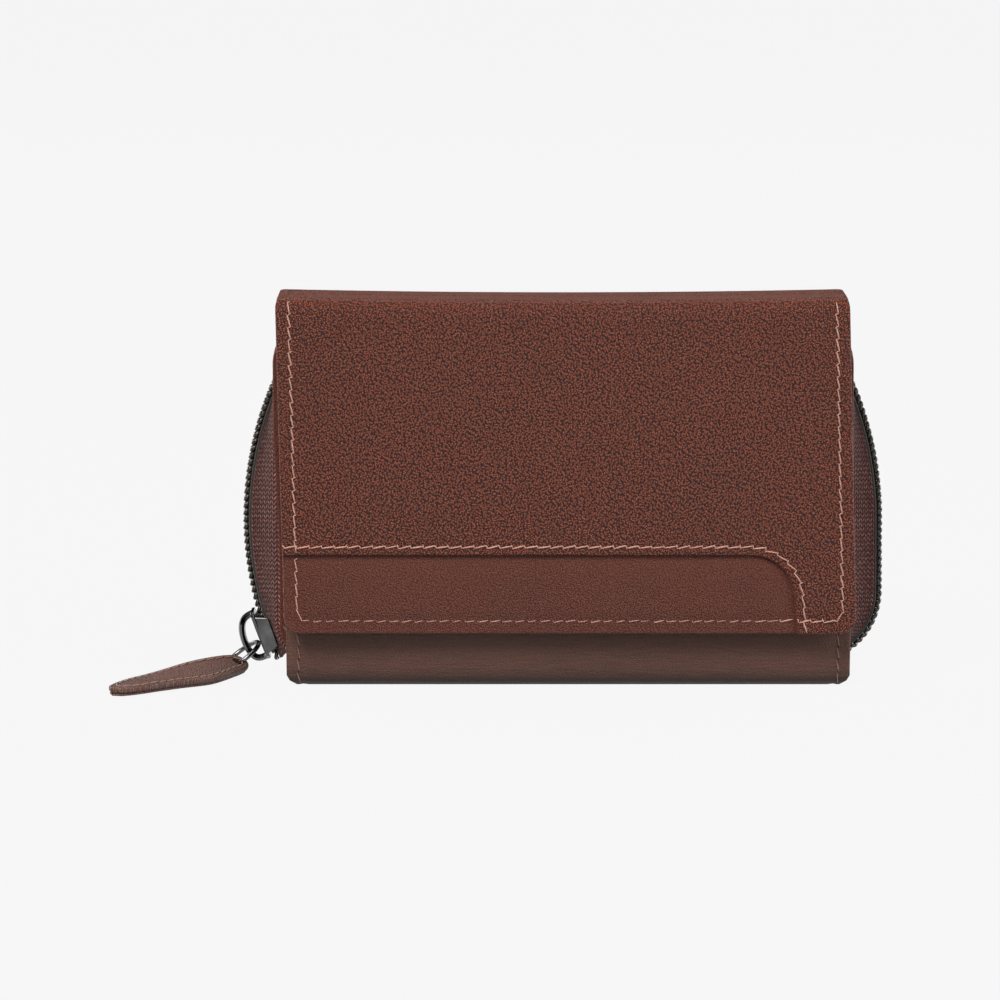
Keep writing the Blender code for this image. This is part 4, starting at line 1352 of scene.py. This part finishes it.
class PURSE_OT_metal(bpy.types.Operator):
    """Make the slider, its jump ring and the press stud"""

    bl_idname = "purse.metal"
    bl_label = "Slider, ring and snap"

    def execute(self, context):
        self.make_slider()
        self.make_ring()
        self.make_snap()
        return {"FINISHED"}

    def make_slider(self):
        """Two plates, rolled side flanges and a bridge, in the slider's own axes, then set on the chain."""
        centre, outward, upward = slider_axes()
        half, wide = 5.9, 4.6
        joined = bmesh.new()

        def shield(scale, long):
            """The plate's outline: a blunt nose below, wider shoulders above."""
            side = [(-long, 1.6), (-long + 0.9, 3.1), (-1.5, wide * 0.86)]
            side += [(1.6, wide), (long - 1.0, wide), (long, 3.4)]
            side = [(u, v * scale) for u, v in side]
            return side + [(u, -v) for u, v in reversed(side)]

        to_plate = Matrix(((0, 0, 1, 0), (0, 1, 0, 0), (1, 0, 0, 0), (0, 0, 0, 1)))
        for low, scale, long, thick in ((1.40, 1.0, half, 0.85), (-2.15, 0.62, half - 0.6, 0.7)):
            work = flat_plate([shield(scale, long)], thick, 0.22)
            bmesh.ops.transform(work, matrix=Matrix.Translation((low, 0, 0)) @ to_plate, verts=work.verts)
            gather(joined, work)
        for side in (-1, 1):
            work = block((3.5, 0.62, half * 1.62), 0.28, 4, 0.72)
            for value in cuts_between(-half, half, 0.6):
                slice_at(work, (0, 0, value), (0, 0, 1))
            for vert in work.verts:
                vert.co.y -= side * 0.75 * (vert.co.z / half) ** 2
            bmesh.ops.translate(work, vec=(0.25, side * (wide - 0.28), 0.1), verts=work.verts)
            gather(joined, work)
        work = block((4.0, 0.55, 2.6), 0.15, 2)
        bmesh.ops.translate(work, vec=(0, 0, 3.6), verts=work.verts)
        gather(joined, work)
        bridge = []
        for i in range(41):
            angle = math.radians(90 - 180 * i / 40)
            reach = max(0.0, math.cos(angle)) ** 0.55
            rise = (half - 0.7) * math.sin(angle) - 0.5 * reach
            bridge.append((PLATE_OUT - 0.3 + (BRIDGE_REACH - 0.2) * reach, 0, rise))
        work = tube(bridge, 0.80, 2)
        bmesh.ops.scale(work, vec=(1, 1.9, 1), verts=work.verts)
        gather(joined, work)
        matrix = axes(outward, Vector((0, 1, 0)), upward, centre)
        bmesh.ops.transform(joined, matrix=matrix, verts=joined.verts)
        bmesh.ops.recalc_face_normals(joined, faces=joined.faces[:])
        finish_piece("zip_slider", joined, ["metal"], "slider", nodes=("slider",), sharp=35)

    def make_ring(self):
        """A round wire bent to a ring, with its two ends almost meeting."""
        middle, down, side, _ = ring_frame()
        gap = 1.2
        points = []
        for i in range(65):
            angle = math.radians(96 + gap + (360 - 2 * gap) * i / 64)
            points.append(middle + (down * math.cos(angle) + side * math.sin(angle)) * RING_RADIUS)
        wire("ring", points, RING_WIRE, "metal", "ring", ("jump_ring",), 4)

    def make_snap(self):
        """The stud on the front panel and the socket in the flap's lining."""
        low, high = size_of("snap_stud")
        x, z = (low.x + high.x) / 2, (low.z + high.z) / 2
        y = FRONT_LOW.y
        at = settled(Vector((x, LINING_HIGH.y, z)))
        washer_low, washer_high = size_of("snap_stud_washer")
        washer_y = (washer_low.y + washer_high.y) / 2 + 1.27
        stud = [(0, 2.1), (1.2, 2.1), (1.7, 1.95), (1.9, 1.65), (1.85, 1.35), (1.45, 1.0), (1.4, 0.8)]
        stud += [(4.6, 0.72), (5.2, 0.6), (5.5, 0.42), (5.4, 0.25), (1.1, 0.2), (1.1, -1.8), (0, -1.8)]
        ring = [(1.6, 1.5), (4.3, 1.5), (4.5, 1.35), (4.5, 1.15), (4.3, 1.05), (1.6, 1.05)]
        socket = [(6.0, -0.1), (6.0, -1.1), (5.8, -1.45), (5.3, -1.62), (2.7, -1.5), (2.4, -1.25)]
        socket.append((2.4, -0.1))
        cap = [(0, 1.25), (4.3, 1.25), (4.5, 1.1), (4.5, 0.95), (2.1, 0.9), (2.1, -0.1), (0, -0.1)]
        for name, profile, place, body in (
            ("stud", stud, (x, y, z), "root"),
            ("stud_washer", ring, (x, washer_y, z), "root"),
            ("socket", socket, at, "flap"),
            ("socket_cap", cap, at, "flap"),
        ):
            work = turned(profile, place)
            finish_piece(name, work, ["metal"], body, nodes=("snap_" + name,), sharp=50)


def leaf(length, end_half, half, inset=0.0):
    """The pull's outline: round at the ring, widest early on, tapering to a round tip."""
    side, steps = [], 26
    for i in range(1, steps):
        t = i / steps
        grow = smooth(t / 0.42)
        taper = 1.0 if t < 0.3 else math.sqrt(max(0.0, 1 - ((t - 0.3) / 0.705) ** 2.5))
        wide = (end_half + (half - end_half) * grow) * taper
        side.append((t * length, max(0.3, wide - inset)))
    start = arc((end_half, 0), end_half - inset, 255, 105, 10)
    side = [p for p in side if end_half * 1.2 < p[0] < length - inset * 1.6]
    tip = [(length - inset * 1.25, 0.0)]
    return start + side + tip + [(x, -y) for x, y in reversed(side)]


class PURSE_OT_pull(bpy.types.Operator):
    """Make the leather pull: two layers sewn along the edge, with a hole for the ring"""

    bl_idname = "purse.pull"
    bl_label = "Leather pull"

    def execute(self, context):
        hole = ring_frame()[3]
        heading = Matrix.Rotation(math.radians(TAB_HEADING), 4, "Z")
        place = Matrix.Translation((hole.x, hole.y, 0)) @ heading @ Matrix.Translation((-TAB_HOLE, 0, 0))
        flat = TAB_THICK / 2 + 0.06
        raised = hole.z - flat

        def shaped(x, y, height):
            """Flat on the table at the tip; towards the ring it rises and turns its face to the front."""
            t = max(0.0, min(1.0, x / TAB_LENGTH))
            lift = raised * (1 - smooth((t - 0.04) / 0.66))
            half = 3.6 + 2.6 * smooth(t / 0.4)
            twist = math.asin(min(0.55, lift / half))
            curl = 0.35 * smooth((t - 0.35) / 0.3) * smooth((1 - t) / 0.3)
            z = flat + lift + curl + height * math.cos(twist) - y * math.sin(twist)
            return place @ Vector((x, y * math.cos(twist) + height * math.sin(twist), max(0.04, z)))

        for word, low, high, inset, node in (
            ("top", -0.42, TAB_THICK / 2, 0.0, "pull_tab_top"),
            ("bottom", -TAB_THICK / 2, -0.45, 0.35, "pull_tab_bottom"),
        ):
            outline = leaf(TAB_LENGTH, TAB_END, TAB_HALF, inset)
            opening = arc((TAB_HOLE, 0), HOLE_RADIUS, 0, 360, 20)[:-1]
            work = flat_plate([outline, opening], high - low, 0.18 if inset else 0.5, 3)
            for axis, reach in ((0, TAB_LENGTH), (1, TAB_HALF)):
                for value in cuts_between(-reach * axis, reach, 0.8):
                    slice_at(work, (0, value, 0) if axis else (value, 0, 0), (1 - axis, axis, 0))
            map_flat(work, "y")
            wear_and_highlight = work.verts.layers.float.new("wear_and_highlight")
            aways = edge_distance([(v.co.x, v.co.y) for v in work.verts], outline)
            for vert, away in zip(work.verts, aways):
                upper = vert.co.z > (high - low) * 0.5 and not inset
                # A paler stripe along one edge of the top face: partly rubbed leather, partly a painted
                # highlight, kept in the same attribute as the cut pieces' rubbed edges.
                rubbed_highlight = smooth(1 - abs(away - 0.9) / 0.9) * smooth(vert.co.y / 2)
                rubbed_highlight *= 1 - abs(vert.co.x - 19) / 11
                vert[wear_and_highlight] = max(0.0, 0.9 * rubbed_highlight) if upper else 0.0
                dome = 0.22 * smooth((away - 1.5) / 2.4) - 0.14 * groove(away, 1.3, 0.4)
                vert.co = shaped(vert.co.x, vert.co.y, vert.co.z + low + (dome if upper else 0.0))
            bmesh.ops.recalc_face_normals(work, faces=work.faces[:])
            finish_piece("pull_" + word, work, ["pull"], "pull_tab", nodes=(node,), sharp=60)
        seam = leaf(TAB_LENGTH, TAB_END, TAB_HALF, 1.35)
        face = TAB_THICK / 2 - 0.06

        def on_top(x, depth, run):
            return shaped(x, run, face - depth)

        sew("pull_seam", [closed(seam)], on_top, 23, body="pull_tab", look="dark_thread",
            pitch=2.3, thick=0.2)
        return {"FINISHED"}


# Stage


class PURSE_OT_stage(bpy.types.Operator):
    """Make the floor, the lights and the camera"""

    bl_idname = "purse.stage"
    bl_label = "Stage"

    def execute(self, context):
        stage = context.scene.purse_stage
        work = bmesh.new()
        bmesh.ops.create_grid(work, x_segments=1, y_segments=1, size=6.0)
        data = bpy.data.meshes.new("floor")
        work.to_mesh(data)
        work.free()
        paper = bpy.data.materials.new("floor_paper")
        paper.use_nodes = True
        shader = paper.node_tree.nodes["Principled BSDF"]
        shader.inputs["Base Color"].default_value = (0.012, 0.012, 0.012, 1)
        shader.inputs["Roughness"].default_value = 1.0
        shader.inputs["Specular IOR Level"].default_value = 0.0
        shader.inputs["Emission Color"].default_value = (1, 1, 1, 1)
        shader.inputs["Emission Strength"].default_value = stage.floor - FLOOR_LIGHT
        data.materials.append(paper)
        floor = bpy.data.objects.new("floor", data)
        context.scene.collection.objects.link(floor)
        floor.location.z = -0.00005
        floor.visible_diffuse = False
        floor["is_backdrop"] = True
        world = bpy.data.worlds.new("studio")
        world.use_nodes = True
        background = world.node_tree.nodes["Background"]
        background.inputs["Color"].default_value = (1, 1, 1, 1)
        background.inputs["Strength"].default_value = stage.floor
        world.cycles_visibility.diffuse = False
        world.cycles_visibility.glossy = False
        context.scene.world = world
        for name, energy, size, place, colour in (
            ("key", 33.0, 0.8, (-0.6, -1.1, 1.3), (1.0, 0.97, 0.94)),
            ("fill", 21.0, 1.3, (1.4, -1.1, 0.7), (0.96, 0.98, 1.0)),
            ("top", 9.0, 1.1, (0.0, -0.1, 1.4), (1.0, 1.0, 1.0)),
            ("rear_left", 13.0, 1.0, (-1.2, 1.1, 0.7), (1.0, 1.0, 1.0)),
            ("rear_right", 13.0, 1.0, (1.2, 1.1, 0.7), (1.0, 1.0, 1.0)),
            ("front", 6.0, 1.6, (0.1, -1.9, 0.25), (1.0, 1.0, 1.0)),
        ):
            light = bpy.data.lights.new(name, "AREA")
            light.energy = energy
            light.size = size
            light.color = colour
            lamp = bpy.data.objects.new(name, light)
            context.scene.collection.objects.link(lamp)
            lamp.location = place
            lamp.rotation_euler = (Vector((0, 0, 0.04)) - Vector(place)).to_track_quat("-Z", "Y").to_euler()
        lens = bpy.data.cameras.new("camera")
        lens.lens = stage.lens
        lens.sensor_width = 36.0
        camera = bpy.data.objects.new("camera", lens)
        context.scene.collection.objects.link(camera)
        camera.location = (-stage.aside, FRONT_Y * MM - stage.distance, stage.height)
        target = Vector((-stage.aside, FRONT_Y * MM, stage.aim))
        camera.rotation_euler = (target - camera.location).to_track_quat("-Z", "Y").to_euler()
        context.scene.camera = camera
        context.scene.view_settings.view_transform = "Standard"
        return {"FINISHED"}


class PURSE_PT_panel(bpy.types.Panel):
    """The purse's settings and its parts"""

    bl_label = "Flap purse"
    bl_idname = "PURSE_PT_panel"
    bl_space_type = "VIEW_3D"
    bl_region_type = "UI"
    bl_category = "Purse"

    def draw(self, context):
        for group in (context.scene.purse_leather, context.scene.purse_zip, context.scene.purse_stage):
            box = self.layout.box()
            for key in group.bl_rna.properties.keys():
                if key not in ("rna_type", "name"):
                    box.prop(group, key)
        for step in OPERATORS:
            self.layout.operator(step.bl_idname)


GROUPS = (("purse_leather", PurseLeather), ("purse_zip", PurseZip), ("purse_stage", PurseStage))
OPERATORS = (
    PURSE_OT_flap,
    PURSE_OT_cards,
    PURSE_OT_compartment,
    PURSE_OT_zip,
    PURSE_OT_metal,
    PURSE_OT_pull,
    PURSE_OT_stage,
)


def register():
    for key, group in GROUPS:
        bpy.utils.register_class(group)
        setattr(bpy.types.Scene, key, bpy.props.PointerProperty(type=group))
    for made in (*OPERATORS, PURSE_PT_panel):
        bpy.utils.register_class(made)


def unregister():
    for made in (*OPERATORS, PURSE_PT_panel):
        bpy.utils.unregister_class(made)
    for key, group in GROUPS:
        delattr(bpy.types.Scene, key)
        bpy.utils.unregister_class(group)


def corners():
    return [list(corner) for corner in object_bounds()]


def main():
    register()
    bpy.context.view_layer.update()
    scene = bpy.context.scene
    make_looks(scene.purse_leather, scene.purse_zip)
    bpy.ops.purse.flap()
    bpy.ops.purse.cards()
    bpy.ops.purse.compartment()
    bpy.ops.purse.zip()
    bpy.ops.purse.metal()
    bpy.ops.purse.pull()
    bpy.ops.purse.stage()


if __name__ == "__main__":
    main()
